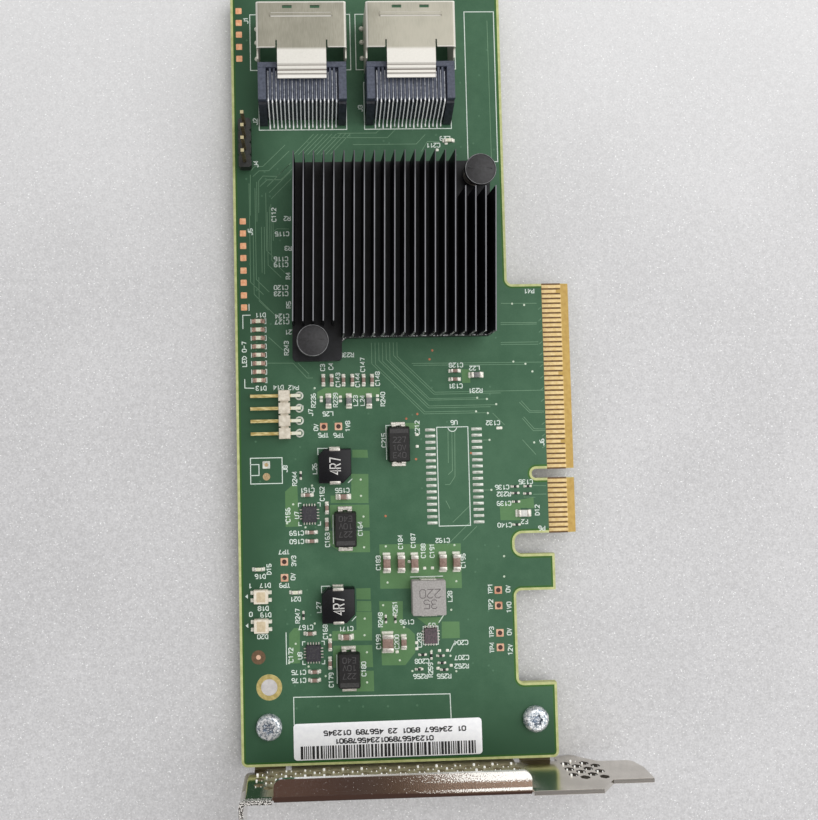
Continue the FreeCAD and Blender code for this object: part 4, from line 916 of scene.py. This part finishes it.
frames = (  # left, right, low, high
    (5.6, 23.7, 129.1, 139), (27.4, 45.5, 129.1, 139), (4, 24.8, 141.7, 153.5), (25.9, 46.7, 141.7, 153.5),
    (48.8, 55.0, 122, 153.9), (2.7, 9.1, 56.3, 61.5), (40.8, 47.2, 46.9, 67), (37, 40, 23.2, 26.8),
)
for left, right, low, high in frames:
    rule(((left, low), (right, low), (right, high), (left, high)), True)
rules = (
    ((10.6, 8), (10.6, 13.5), (42.1, 13.25), (42.2, 8.4)), ((3.2, 90.7), (1.6, 90.7), (1.6, 87.9)),
    ((1.8, 77.6), (1.8, 75.8), (3.7, 75.7)), ((2.9, 91.6), (2.9, 93)),
    ((2.7, 58), (4.4, 58), (4.4, 60.2), (2.7, 60.2)), ((9.3, 26.4), (9.3, 20)),
    ((30.4, 60.6), (30.4, 67.6), (32.4, 67.6)), ((19.2, 43.8), (19.2, 49.7)), ((19.4, 15.9), (19.4, 21.7)),
    ((18.4, 63.2), (16.4, 63.2), (16.4, 61.9)), ((22.4, 56.1), (23.3, 56.9)),
    ((18.4, 35.4), (16.6, 35.4), (16.6, 34)), ((22.6, 28.3), (23.5, 29.2)), ((34.6, 36.8), (41.3, 36.8)),
    ((41.3, 29.1), (40.2, 27.5)), ((12.9, 71.9), (13.7, 71.9)), ((42.3, 21.6), (43.2, 23.3)),
)
for path in rules:
    rule(path)
corner = np.array([(2.2, 1.5), (2.2, 2.25), (1.6, 2.25)])
for place in ((14.46, 49.95), (14.76, 22.2)):  # corner marks round the regulators
    for signs in ((-1, -1), (1, -1), (1, 1), (-1, 1)):
        rule(corner * signs + place)
lampRows = 89.4 - 1.727 * np.arange(8)
for y in lampRows:  # ticks beside the activity lamps
    rule(((3.25, y - 0.5), (3.25, y + 0.5)), width=0.16)
    rule(((6.0, y + 0.5), (6.3, y + 0.5), (6.3, y - 0.5), (6.0, y - 0.5)), width=0.14)
for y in (33.76, 27.95):  # pointers beside the port lamps
    pointer = np.array([(1.2, y), (1.75, y - 0.45), (1.75, y + 0.45)])
    loft(printed, pointer, [(0, ink["floor"]), (0, ink["top"])])
half = np.linspace(math.pi, 2 * math.pi, 12)
rule(np.c_[44 + 0.9 * np.cos(half), 67 + 0.9 * np.sin(half)])
finishPiece("silk_print", printed, silkWhite)
print("ink done")

# Chip parts: rounded bodies between plated ends, each end in a fillet of solder

chips = {"round": 0.06, "share": 0.23, "proud": 0.04, "reach": 0.4, "slim": 0.88}
caps, solder, lampCaps = Mould(), Mould(), Mould()


def chip(mould, ends, joints, place, size, axis):  # body, two end caps and two solder slopes along one axis
    length, width, height = size
    width = width * chips["slim"]
    along = np.array([1, 0]) if axis == "x" else np.array([0, 1])
    turned = 1 if axis == "x" else -1
    cap, edge = length * chips["share"], chips["round"]
    reach = min(chips["reach"], 0.5 * width)

    def levels(top):
        return [(0, 0.03), (0, top - edge), (edge * 0.3, top - edge * 0.3), (edge, top)]

    core = (length - 1.6 * cap, width - 2 * chips["proud"])[::turned]
    loft(mould, rectangle(*core, 0.08, 2), levels(height - chips["proud"]), [place])
    spots = [np.array(place) + side * along * (length - cap) / 2 for side in (-1, 1)]
    loft(ends, rectangle(*(cap, width)[::turned], 0.1, 2), levels(height), spots)
    spots = [np.array(place) + side * along * (length + reach) / 2 for side in (-1, 1)]
    slope = rectangle(*(reach + 0.2, width * 1.1)[::turned], 0.16, 2)
    loft(joints, slope, [(0, 0.02), (0.02, 0.08), (0.12, min(0.22, 0.5 * height))], spots)


chipRows = {
    "large_ceramic_capacitors": (ceramicBrown, "capacitor_brown", (3.2, 1.65, 1.4), (
        (29.89, 39.77, "y"), (32.82, 39.72, "y"), (35.54, 39.67, "y"), (41.28, 39.69, "y"),
        (44.07, 39.64, "y"))),
    "bulk_ceramic_capacitor": (ceramicBrown, "capacitor_brown", (3.4, 2.5, 1.6), ((29.73, 23.9, "y"),)),
    "medium_ceramic_capacitors": (ceramicBrown, "capacitor_brown", (2.2, 1.25, 0.95), (
        (21.4, 53.32, "x"), (21.35, 25.21, "x"), (32.98, 23.84, "y"))),
    "small_ceramic_capacitors": (ceramicBrown, "capacitor_brown", (1.7, 0.85, 0.8), (
        (17.8, 77.1, "y"), (19.49, 77.07, "y"), (21.91, 77.03, "y"), (23.73, 77.0, "y"),
        (26.02, 76.96, "y"), (27.76, 76.93, "y"), (44.78, 78.52, "x"), (44.73, 76.78, "x"),
        (14.1, 53.83, "x"), (14.78, 46.31, "x"), (14.81, 44.56, "x"), (14.11, 26.1, "x"),
        (14.89, 18.49, "x"), (14.85, 16.82, "x"), (18.01, 51.12, "y"), (17.94, 47.84, "y"),
        (18.11, 23.68, "y"), (18.04, 20.07, "y"))),
    "ferrite_beads": (beadGrey, "ferrite_grey", (2.2, 1.3, 0.95), (
        (18.75, 72.83, "y"), (22.92, 72.76, "y"), (27.03, 72.69, "y"), (49.16, 77.59, "x"))),
    "chip_resistors": (resistorBlack, "resistor_black", (1.1, 0.55, 0.35), (
        (12.83, 57.8, "y"), (12.87, 29.7, "y"), (29.46, 28.5, "y"), (31.4, 28.5, "y"), (36.73, 21.2, "x"),
        (38.5, 21.0, "y"), (40.61, 19.47, "x"), (35.95, 18.33, "x"), (41.02, 18.1, "x"),
        (40.35, 20.9, "x"), (56.51, 54.6, "x"), (59.16, 54.6, "x"), (56.59, 53.25, "x"),
        (59.05, 53.1, "x"), (56.66, 51.5, "x"), (56.63, 46.85, "x"))),
    "fuse": (fuseWhite, "fuse_white", (2.3, 1.6, 0.9), ((58.1, 49.15, "x"),)),
    "activity_leds": (lampClear, "led_resin", (1.7, 1.0, 0.75), [(4.75, y, "x") for y in lampRows]),
    "status_leds": (lampClear, "led_resin", (1.7, 0.85, 0.7), ((4.0, 39.15, "x"), (11.38, 34.35, "x"))),
}
for node, (material, slot, size, places) in chipRows.items():
    row = Mould()
    for x, y, axis in places:
        if node == "activity_leds":
            chip(row, lampCaps, lampCaps, (x, y), size, axis)
        else:
            chip(row, caps, solder, (x, y), size, axis)
    finishPiece(node + "_bodies", row, material, (node,), 40)
faultLamp = Mould()
chip(faultLamp, caps, solder, (44.8, 126.5), (1.7, 0.85, 0.7), "x")
finishPiece("fault_lamp", faultLamp, lampClear, (), 40)
finishPiece("chip_end_caps", caps, tinPlate, (), 40)
finishPiece("lamp_end_caps", lampCaps, lampEnd, (), 40)
finishPiece("chip_solder", solder, silverPad, (), 50)
print("chip parts done")

# Power parts

tantalum = {"size": (4.5, 7.2, 2.7), "waist": 1.3, "draft": 0.28, "foot": (2.9, 0.8), "wing": (0.95, 0.45),
            "stripe": (3.7, 0.85), "stripeRise": 2.65, "ink": 0.012,
            "places": ((32.84, 63.75, 1), (21.65, 46.87, -1), (21.81, 18.9, -1)),
            "lines": (("227", 0.9), ("10V", -0.7), ("E40", -2.2))}
width, length, height = tantalum["size"]
waist, draft, raised = tantalum["waist"], tantalum["draft"], height + tantalum["ink"]
caseLevels = [(draft, 0), (0.02, waist - 0.04), (0, waist), (0.02, waist + 0.04),
              (draft - 0.05, height - 0.08), (draft + 0.03, height)]
feet = Mould()
for i, (x, y, way) in enumerate(tantalum["places"], 1):
    case, stripe, notes = Mould(), Mould(), Mould()
    loft(case, rectangle(width, length, 0.4, 4), caseLevels, ((x, y),))
    finishPiece("tantalum_%d_case" % i, case, tantalumBlack,
                ("tantalum_capacitor_%d" % i,), 35)
    loft(stripe, rectangle(*tantalum["stripe"], 0.05, 2), [(0, height), (0, raised)],
         ((x, y + way * tantalum["stripeRise"]),))
    finishPiece("tantalum_%d_stripe" % i, stripe, bandGrey)
    for text, drop in tantalum["lines"]:
        place = np.array([x, y + way * drop])
        write(notes, text, place, 0 if way > 0 else 180, 1.05, 0.15, height, raised)
    finishPiece("tantalum_%d_marks" % i, notes, markGrey)
    for side in (-1, 1):
        face = y + side * length / 2
        for wing in (-1, 1):  # each terminal: a foot on its pad and two uprights with a notch between them
            place = (x + wing * tantalum["wing"][0], face + side * 0.16)
            tile(feet, tantalum["wing"], 0.08, (0.3, 1.15, 1.25), 0.08, (place,))
        tile(feet, tantalum["foot"], 0.1, (0.02, 0.2, 0.3), 0.1, ((x, face + side * 0.5),))
finishPiece("tantalum_feet", feet, tinPlate, ("tantalum_terminals",), 40)

choke = {"size": (6.6, 6.9, 3.0), "cuts": (1.2, 1.7), "places": ((19.75, 59.65), (19.9, 31.85)),
         "upright": (2.1, 0.16), "over": (2.1, 0.5), "foot": (2.3, 0.4), "mark": "4R7", "ink": 0.012}
width, length, height = choke["size"]
large, small = choke["cuts"]
right, far = width / 2, length / 2
shape = np.array([(-right, -far), (right - small, -far), (right, small - far), (right, far),
                  (large - right, far), (-right, far - large)])
blockLevels = [(0.1, 0), (0, 0.25), (0, height - 0.35), (0.1, height - 0.12), (0.32, height)]
plates = Mould()
for i, (x, y) in enumerate(choke["places"], 1):
    block, notes = Mould(), Mould()
    loft(block, shape, blockLevels, ((x, y),))
    finishPiece("power_choke_%d" % i, block, ferriteBlack, ("power_inductor_%d" % i,), 35)
    write(notes, choke["mark"], np.array([x + 0.1, y]), 90, 2.15, 0.23, height, height + choke["ink"], 0.62)
    finishPiece("power_choke_%d_mark" % i, notes, markPale)
    for side in (-1, 1):  # each terminal: up the end, over the top, and a foot
        end = y + side * far
        tile(plates, choke["upright"], 0.05, (0.02, 2.95, 3.03), 0.04, ((x, end + side * 0.03),))
        tile(plates, choke["over"], 0.1, (2.9, 3.02, 3.05), 0.05, ((x, end - side * 0.17),))
        loft(plates, rectangle(*choke["foot"], 0.1, 2), [(0, 0.02), (0.05, 0.15), (0.12, 0.25)],
             ((x, end + side * 0.22),))
filterCoil = {"place": (38.05, 32.95), "size": (6.75, 6.95, 3.0), "plate": (3.2, 0.24), "ink": 0.01,
              "lines": (("220", 0.9), ("35", -1.2))}
width, length, height = filterCoil["size"]
x, y = filterCoil["place"]
blockLevels = [(0.05, 0), (0, 0.3), (0, height - 0.12), (0.05, height - 0.03), (0.16, height)]
block, notes = Mould(), Mould()
loft(block, rectangle(width, length, 0.25, 3), blockLevels, ((x, y),))
finishPiece("filter_coil", block, ferriteGrey, ("filter_inductor",), 35)
for text, rise in filterCoil["lines"]:
    write(notes, text, np.array([x + 0.2, y + rise]), 180, 1.7, 0.16, height, height + filterCoil["ink"])
finishPiece("filter_coil_mark", notes, markDull)
for side in (-1, 1):
    tile(plates, filterCoil["plate"], 0.08, (0.02, 2.2, 2.3), 0.06, ((x, y + side * (length / 2 + 0.1)),))
finishPiece("coil_plates", plates, tinPlate, ("inductor_terminals",), 40)

packages = {  # middle, width, length and height
    "voltage_regulator_1": (14.46, 49.95, 3.5, 3.7, 0.9),
    "voltage_regulator_2": (14.76, 22.2, 3.5, 3.7, 0.9),
    "power_monitor": (38.5, 25.0, 3.1, 3.5, 0.85),
}
packageForm = {"share": (0.85, 0.88), "lead": (0.26, 0.6), "leadHeights": (0.02, 0.14, 0.2), "ink": 0.01,
               "endPitch": 0.55, "sidePitch": 0.6, "lines": (("40", 0.75), ("127", -0.55))}
endSteps = (np.arange(5) - 2) * packageForm["endPitch"]
sideSteps = (np.arange(4) - 1.5) * packageForm["sidePitch"]
lead, leadHeights = packageForm["lead"], packageForm["leadHeights"]
leads = Mould()
for node, (x, y, wide, deep, tall) in packages.items():
    case, notes = Mould(), Mould()
    wide, deep = np.array([wide, deep]) * packageForm["share"]
    caseLevels = [(0, 0.02), (0, tall * 0.5), (0.05, tall - 0.05), (0.1, tall)]
    resin = packageBrown if node == "power_monitor" else packageViolet
    raised = tall + packageForm["ink"]
    loft(case, rectangle(wide, deep, 0.08, 2), caseLevels, ((x, y),))
    finishPiece(node + "_case", case, resin, (node,), 35)
    for text, rise in packageForm["lines"]:
        write(notes, text, np.array([x, y + rise]), 180, 0.8, 0.1, tall, raised)
    lathe(notes, ((0.18, tall), (0.18, raised)), ((x + wide * 0.33, y + deep * 0.33),), 16)
    finishPiece(node + "_marks", notes, markGrey)
    for side in (-1, 1):
        ends = np.c_[x + endSteps, np.full(5, y + side * (deep / 2 + 0.2))]
        flanks = np.c_[np.full(4, x + side * (wide / 2 + 0.2)), y + sideSteps]
        tile(leads, lead, 0.05, leadHeights, 0.05, ends)
        tile(leads, lead[::-1], 0.05, leadHeights, 0.05, flanks)
finishPiece("package_leads", leads, tinPlate, (), 40)

portLamp = {"places": ((4.44, 33.76), (4.41, 27.95)), "size": (2.95, 2.8, 1.5), "window": (1.75, 2.0),
            "foot": (0.75, 0.75), "footPlace": (1.75, 0.75)}
wide, deep, tall = portLamp["size"]
footX, footY = portLamp["footPlace"]
shells, lenses, feet = Mould(), Mould(), Mould()
shellLevels = [(0.05, 0), (0, 0.7), (0.03, tall - 0.1), (0.1, tall)]
loft(shells, rectangle(wide, deep, 0.15, 2), shellLevels, portLamp["places"])
tile(lenses, portLamp["window"], 0.15, (tall - 0.02, tall + 0.01, tall + 0.02), 0.06, portLamp["places"])
for x, y in portLamp["places"]:
    spots = [(x + sx * footX, y + sy * footY) for sx in (-1, 1) for sy in (-1, 1)]
    tile(feet, portLamp["foot"], 0.08, (0.02, 0.35, 0.42), 0.06, spots)
finishPiece("port_lamp_shells", shells, lampShell, ("port_leds",), 35)
finishPiece("port_lamp_lenses", lenses, lampGel, (), 35)
finishPiece("port_lamp_feet", feet, silverPad, ("port_led_terminals",), 40)
print("power parts and lamps done")

# Heat sink, its push pins and springs, bracket screws, painted glints at the vents

sink = {"low": 85.25, "high": 120.8, "ear": (80.7, 21.6), "earGap": 2.5, "base": (2.6, 5.0), "top": 12.6,
        "fins": 21, "nearEnds": (11.95, 51.1), "farEnds": (12.7, 52.1), "foot": 0.5, "tip": 0.18,
        "margin": 0.28, "pocket": 4.1}
pushPin = {"places": ((15.2, 84.3), (49.0, 117.7)), "hole": 1.6, "head": 3.15, "lean": 0.06, "rim": 9.6}
spring = {"turns": 3.4, "rise": 3.36, "flat": 1.2, "radius": 2.15, "wire": 0.22, "seat": 5.22}
nearX = np.linspace(*sink["nearEnds"], sink["fins"])
farX = np.linspace(*sink["farEnds"], sink["fins"])
earLow, earRight = sink["ear"]
left, right, margin = nearX[0], nearX[-1], sink["margin"]
outline = rounded([
    (left - margin, earLow, 0.8), (earRight, earLow, 0.8), (earRight, sink["low"], 1.4),
    (right + margin, sink["low"], 0), (farX[-1] + margin, sink["high"], 0),
    (farX[0] - margin, sink["high"], 0),
])
finned = Mould()
plate(finned, outline, [circle(pushPin["hole"], 24) + place for place in pushPin["places"]], *sink["base"])
farPin = pushPin["places"][1]
finLevels = ((sink["foot"], sink["base"][1] - 0.05), (sink["tip"] + 0.04, sink["top"] - 0.1),
             (sink["tip"], sink["top"]))
for near, far in zip(nearX, farX):  # fins run a little out of square, and thin toward the tip
    low = sink["low"] + (sink["earGap"] if near < earRight else 0)
    high = farPin[1] - sink["pocket"] if abs(far - farPin[0]) < sink["pocket"] else sink["high"]
    along = (np.array([low, high]) - sink["low"]) / (sink["high"] - sink["low"])
    a, b = near + along * (far - near)
    rings = [[(a - w / 2, low, z), (a + w / 2, low, z), (b + w / 2, high, z), (b - w / 2, high, z)]
             for w, z in finLevels]
    stack(finned, np.array(rings)[None])
finishPiece("finned_sink", finned, sinkBlack, ("heat_sink",))

for name, place in zip(("near", "far"), pushPin["places"]):
    pin, rim, coil = Mould(), Mould(), Mould()
    reach = pushPin["head"]
    profile = (
        (0.85, -3.67), (1.05, -3.5), (1.9, -1.75), (1.95, -1.58), (1.45, -1.56), (1.45, 8.75),
        (reach - 0.2, 8.8), (reach, 8.95), (reach, 9.45), (reach - 0.06, 9.6), (reach - 0.2, 9.66),
        (reach - 0.3, 9.6), (2.2, 9.72), (1.4, 9.85), (0.6, 9.93), (0.2, 9.95),
    )
    lathe(pin, profile, (place,), 64, pushPin["lean"])
    shift = np.array(place) + (pushPin["lean"] * pushPin["rim"], 0)
    ribbon(pin, np.array([(-2.5, 0.3), (-0.9, 0.1), (-0.3, 0.32)]) + shift, 0.12, 9.5, 9.93)
    ribbon(pin, np.array([(-0.1, 0.1), (0.9, 0.25), (2.3, 0.1)]) + shift, 0.08, 9.5, 9.9)
    # painted highlight: a pale ring round the rim of the head
    washer(rim, shift, reach - 0.1, reach - 0.18, pushPin["rim"], pushPin["rim"] + 0.08, 64)
    finishPiece("push_pin_" + name + "_moulding", pin, pinPlastic, ("push_pin_" + name,), 40)
    finishPiece("push_pin_" + name + "_rim", rim, rimHighlight)
    t = np.linspace(0, 2 * math.pi * spring["turns"], 170)  # helix (r cos t, r sin t, rise), flat ended
    rise = np.clip((t - spring["flat"]) / (t[-1] - 2 * spring["flat"]), 0, 1) * spring["rise"]
    around = np.linspace(0, 2 * math.pi, 9)[:-1]
    out = spring["radius"] + spring["wire"] * np.cos(around)
    wire = np.stack([place[0] + np.cos(t)[:, None] * out, place[1] + np.sin(t)[:, None] * out,
                     spring["seat"] + rise[:, None] + spring["wire"] * np.sin(around)], -1)
    start = np.arange(len(around))
    coil.add(wire, gridFaces(len(t), len(around), wrapCols=True)[:, ::-1], start[None],
             (start[::-1] + len(around) * (len(t) - 1))[None])
    finishPiece("push_pin_" + name + "_spring", coil, springSteel,
                ("push_pin_spring_" + name,), 60)

screw = {"places": ((5.61, 7.85), (59.31, 7.85)), "head": 2.6, "height": 1.5, "shank": 1.45, "tail": -3.53,
         "turn": (0.3, 0.1), "lobes": (1.0, 0.2), "depth": 0.7, "edgeDrop": 0.65, "dome": 0.1}
radius = np.r_[np.linspace(0.06, 1.5, 26), np.linspace(1.6, screw["head"], 12)][:, None]
theta = np.linspace(0, 2 * math.pi, 121)[None, :-1]
skirt = np.array([(screw["head"], 0.0), (screw["shank"], 0.0), (screw["shank"], screw["tail"] + 0.3),
                  (1.15, screw["tail"])])
for i, ((x, y), turned) in enumerate(zip(screw["places"], screw["turn"]), 1):
    head = Mould()  # dome 1 - r^2 over a disc, sunk inside the six-lobed line r = 1.0 + 0.2 cos 6a
    lobe = screw["lobes"][0] + screw["lobes"][1] * np.cos(6 * (theta - turned))
    sunk = np.clip((lobe - radius) / 0.14, 0, 1)
    edge = np.clip((radius - 1.9) / 0.7, 0, 1)
    dome = screw["height"] - screw["dome"] * (radius / screw["head"]) ** 2
    top = dome - screw["edgeDrop"] * edge ** 2 - screw["depth"] * sunk
    cap = np.stack([x + radius * np.cos(theta), y + radius * np.sin(theta), top], -1)
    lower = np.stack([x + skirt[:, :1] * np.cos(theta), y + skirt[:, :1] * np.sin(theta),
                      np.broadcast_to(skirt[:, 1:], (4, theta.shape[1]))], -1)
    stack(head, np.concatenate([cap, lower])[::-1][None])
    finishPiece("bracket_screw_%d" % i, head, screwNickel, ("bracket_screws",) if i == 1 else ())

vents = {"first": 3.8, "columns": 28, "pitch": 1.88, "rows": (-0.5, 2.5), "stagger": 1.5, "face": -1.0,
         "fleck": 0.22, "corners": ((-0.55, 1.0), (0.45, 0.5)), "extra": [(3.8, 7.0), (5.7, 5.5)],
         "end": ((64.8, 1), (64.8, 4), (64.8, 7), (66.7, -0.5), (66.7, 2.5), (66.7, 5.5),
                 (68.6, 1), (68.6, 4), (68.6, 7), (70.4, 2.5), (70.4, 5.5))}
flecks, chance = Mould(), np.random.default_rng(5)  # painted glints: glowing flecks where the punched edges catch the light here and there
ventPlaces = [(vents["first"] + i * vents["pitch"], z + vents["stagger"] * (i % 2 == 0))
              for i in range(vents["columns"]) for z in vents["rows"]] + vents["extra"]
for places, lift, share in ((ventPlaces, 0.85, 1.0), (vents["end"], 0.5, 0.9)):
    for x, z in places:
        for corner, part in vents["corners"]:
            spread = vents["fleck"] * share * part * chance.uniform(0.4, 1.15)
            sweepY(flecks, circle(spread, 6) + (x + corner, z + lift),
                   vents["face"] - 0.05, vents["face"] + 1.6 * spread)
finishPiece("vent_glints", flecks, ventGlintGlow)
print("heat sink and fasteners done")

# Ports and headers: grooved housings, two rows of leads, the solder that holds them

port = {"centres": (14.68, 36.45), "sides": ("left", "right"), "half": 8.85, "front": 140.4, "rear": 132.8,
        "top": 7.5, "floor": 6.3, "land": 139.3, "cheek": 7.25, "slot": (138.1, 3.6, 5.1), "pitch": 0.8,
        "count": 18, "rib": 0.46, "lead": (0.13, 0.22), "sheet": 0.14, "beads": (150.4, 147.5, 144.1)}
levelPaths = (
    ((138.6, 7.3), (132.6, 7.3)),
    ((138.4, 7.05), (132.4, 7.05)),
)
slopePaths = (
    ((133.0, 7.3), (132.5, 7.28), (130.2, 0.4), (129.9, 0.14), (129.3, 0.14)),
    ((132.8, 7.05), (132.3, 7.0), (130.4, 0.6), (130.1, 0.14), (129.6, 0.14)),
)
slopePoints = ((131.2, 0.02), (132.8, 0.02), (132.8, 6.3), (132.6, 6.0), (131.2, 1.0))
earPoints = ((129.9, 0.02), (132.8, 0.02), (132.8, 6.2), (132.3, 6.0), (129.9, 1.1))
finPoints = ((131.1, 0.7), (132.8, 5.8), (132.6, 6.4), (130.9, 1.2))
dome = ((0.5, 0.02), (0.48, 0.2), (0.36, 0.42), (0.15, 0.55))
landings, beads = Mould(), Mould()
half, front, rear, land = port["half"], port["front"], port["rear"], port["land"]
floor, top, cheek = port["floor"], port["top"], port["cheek"]
for side, centre in zip(port["sides"], port["centres"]):
    block, comb, leads = Mould(), Mould(), Mould()
    slotY, slotLow, slotHigh = port["slot"]
    brick(block, (centre - half, rear, 0.02), (centre + half, slotY, floor))
    brick(block, (centre - half, slotY, 0.02), (centre + half, front, slotLow))
    brick(block, (centre - half, slotY, slotHigh), (centre + half, front, floor))
    brick(block, (centre - half, land, floor), (centre + half, front, top))
    for way in (-1, 1):
        inner, outer = sorted((centre + way * cheek, centre + way * half))
        brick(block, (inner, rear, floor), (outer, land, top))
        brick(block, (inner, slotY, slotLow), (outer, front, slotHigh))
        sweepX(comb, earPoints, inner, outer)
    row = centre + (np.arange(port["count"]) - (port["count"] - 1) / 2) * port["pitch"]
    sweepX(comb, slopePoints, centre - half, centre + half)
    for x in row[:-1] + port["pitch"] / 2:
        brick(block, (x - port["rib"] / 2, rear, floor), (x + port["rib"] / 2, land, top - 0.2))
        sweepX(comb, finPoints, x - port["rib"] / 2, x + port["rib"] / 2)
    for i, x in enumerate(row):
        for paths, wide in ((levelPaths, port["lead"][0]), (slopePaths, port["lead"][1])):
            sweepX(leads, strip(paths[i % 2], port["sheet"])[::-1], x - wide / 2, x + wide / 2)
    loft(landings, rectangle(0.3, 0.8, 0.1, 2), [(0, 0.02), (0.04, 0.08), (0.12, 0.12)],
         np.c_[row, 129.6 + 0.3 * (np.arange(port["count"]) % 2)])
    finishPiece("port_block_" + side, block, housingPlastic, ("port_housing_" + side,))
    finishPiece("port_comb_" + side, comb, combShadePlastic)
    finishPiece("port_leads_" + side, leads, leadTin, ("port_contacts_" + side,))
    lathe(beads, dome, [(centre - 9.3, y) for y in port["beads"]], 20)
finishPiece("lead_landings", landings, silverPad, (), 50)
cells = Mould()  # angled header: one square of plastic for each pin, joined by a web
left, right = angleHeader["across"]
cell, top = angleHeader["cell"], angleHeader["top"]
for x, y in pinPlaces(angleHeader):
    brick(cells, (left, y - cell, 0.02), (right, y + cell, top), 0.12)
brick(cells, *angleHeader["web"])
finishPiece("angle_header_cells", cells, creamPlastic, ("angle_header_body",))
under = ((0.3, -2.35), (0.42, -2.2), (0.6, -1.85), (0.85, -1.6))
lathe(beads, under, pinPlaces(angleHeader) + pinPlaces(uprightHeader), 24)
finishPiece("solder_beads", beads, silverPad, (), 50)
print("ports and headers done")

# Label

label = {"centre": (29.4, 4.7), "size": (37.9, 7.2), "turn": 0.25, "bars": (35.2, -3.4, -0.85), "corner": 0.7,
         "film": 0.115, "ink": 0.125, "count": 62,
         "lines": (("01 234567 8901 23 456789 012345", 1.4, 1.6, 0.86),
                   ("0123456789012345678901", -0.8, -0.05, 0.84))}
film, inked = label["film"], label["ink"]


def onLabel(points):  # places on the label, turned and moved onto the board
    c, s = math.cos(math.radians(label["turn"])), math.sin(math.radians(label["turn"]))
    return np.asarray(points) @ np.array([[c, s], [-s, c]]) + label["centre"]


paper, printing = Mould(), Mould()
sheet = onLabel(rectangle(*label["size"], label["corner"], 5))
loft(paper, sheet, [(0, 0.01), (0, film - 0.025), (0.05, film)])
finishPiece("label_film", paper, labelPaper, ("label",))
spacing = np.random.default_rng(3)
widths = spacing.choice([0.24, 0.3, 0.5, 0.6], label["count"])
spaces = spacing.choice([0.2, 0.24, 0.36], label["count"])
lefts = np.concatenate([[0], np.cumsum(widths + spaces)[:-1]])
span, low, high = label["bars"]
scale = span / (lefts[-1] + widths[-1])
for left, wide in zip(lefts * scale - span / 2, widths * scale):
    bar = onLabel([(left, low), (left + wide, low), (left + wide, high), (left, high)])
    loft(printing, bar, [(0, film), (0, inked)])
for text, along, rise, tall in label["lines"]:
    place = onLabel([(along, rise)])[0]
    write(printing, text, place, 180 + label["turn"], tall, 0.25, film, inked, 1.22)
finishPiece("label_print", printing, labelInk)
print("label done")

# Camera, light and floor

view = {"focal": 919.44, "centre": (345.0, 390.0), "image": (818, 820), "tilt": (-0.0505, -0.0352, -0.0192),
        "place": (15.579, 65.526, 187.587), "sensor": 36}
tiltX, tiltY, tiltZ = view["tilt"]
flip = Matrix(((1, 0, 0), (0, -1, 0), (0, 0, -1)))
turn = Matrix.Rotation(tiltZ, 3, "Z") @ Matrix.Rotation(tiltY, 3, "Y") @ Matrix.Rotation(tiltX, 3, "X")
lens = bpy.data.cameras.new("camera")
longSide = max(view["image"])
lens.sensor_width = view["sensor"]
lens.lens = view["focal"] * view["sensor"] / longSide
lens.shift_x = (view["image"][0] / 2 - view["centre"][0]) / longSide
lens.shift_y = (view["centre"][1] - view["image"][1] / 2) / longSide
lens.clip_start, lens.clip_end = 0.01, 10
camera = bpy.data.objects.new("camera", lens)
facing = flip @ turn.transposed() @ flip
camera.matrix_world = Matrix.Translation(np.array(view["place"]) * mm + zero) @ facing.to_4x4()
bpy.context.scene.collection.objects.link(camera)
bpy.context.scene.camera = camera

light = {"key": 6.2, "keyPlace": (0.5, 0.15, 0.75), "keySize": 1.1, "sky": 0.66,
         "floor": ((211, 210, 211), (186, 185, 186)), "gloss": ((86, 62, 50), (205, 200, 193))}
lamp = bpy.data.lights.new("keyLamp", "AREA")
lamp.energy = light["key"]
lamp.size = light["keySize"]
holder = bpy.data.objects.new("keyLamp", lamp)
holder.location = light["keyPlace"]
holder.rotation_euler = Vector(light["keyPlace"]).to_track_quat("Z", "Y").to_euler()  # faces the card
bpy.context.scene.collection.objects.link(holder)

world = bpy.data.worlds.new("room")
world.use_nodes = True
bpy.context.scene.world = world
sky = Dye(world.node_tree)  # plain white; mirrored rays meet pale grey and a dim brown patch
ray = sky.node("LightPath", out=3)
across, along, up = sky.node("TexCoord", out=0).parts()
patch = up.between(0.6, 0.8) * (0 - along).between(0.1, 0.28) * (0.15 - across).between(0.0, 0.13)
dim, pale = (tone(*colour) for colour in light["gloss"])
shown = ray.blend([light["sky"]] * 3 + [1.0], patch.blend(pale, dim))
world.node_tree.links.new(shown.socket, world.node_tree.nodes["Background"].inputs["Color"])


def floorRecipe(dye):  # grey cloth-like grain with bright specks, and painted light toward the far side
    grain, weave, speck, cloud = dye.noise(0.4, 3), dye.noise(1.3, 2), dye.noise(0.32, 1), dye.noise(30, 2)
    pale, dark = (tone(*colour) for colour in light["floor"])
    woven = (0.55 * grain + 0.25 * weave + 0.2 * cloud).between(0.32, 0.68).blend(dark, pale)
    cloth = (0.5 * dye.axes()[1].between(60, 190)).blend(woven, tone(238, 238, 238))  # painted light: paler to the far side
    return {"Base Color": speck.between(0.65, 0.78).blend(cloth, tone(250, 250, 250)),
            "Roughness": 0.5 + 0.2 * grain, "Normal": dye.bump(grain, 0.2, 0.1)}


floorMesh = bpy.data.meshes.new("floor")
floorCorners = [(x, y, -0.0001) for x, y in ((-3, -3), (3, -3), (3, 3), (-3, 3))]  # in metres
floorMesh.from_pydata(floorCorners, [], [(0, 1, 2, 3)])
floorPaint = finish("floorPaint", floorRecipe)
floorMesh.materials.append(floorPaint)
floor = bpy.data.objects.new("floor", floorMesh)
bpy.context.scene.collection.objects.link(floor)
floor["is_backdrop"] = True
bpy.context.scene.view_settings.view_transform = "Standard"
print("camera, light and floor done")

low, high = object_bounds()
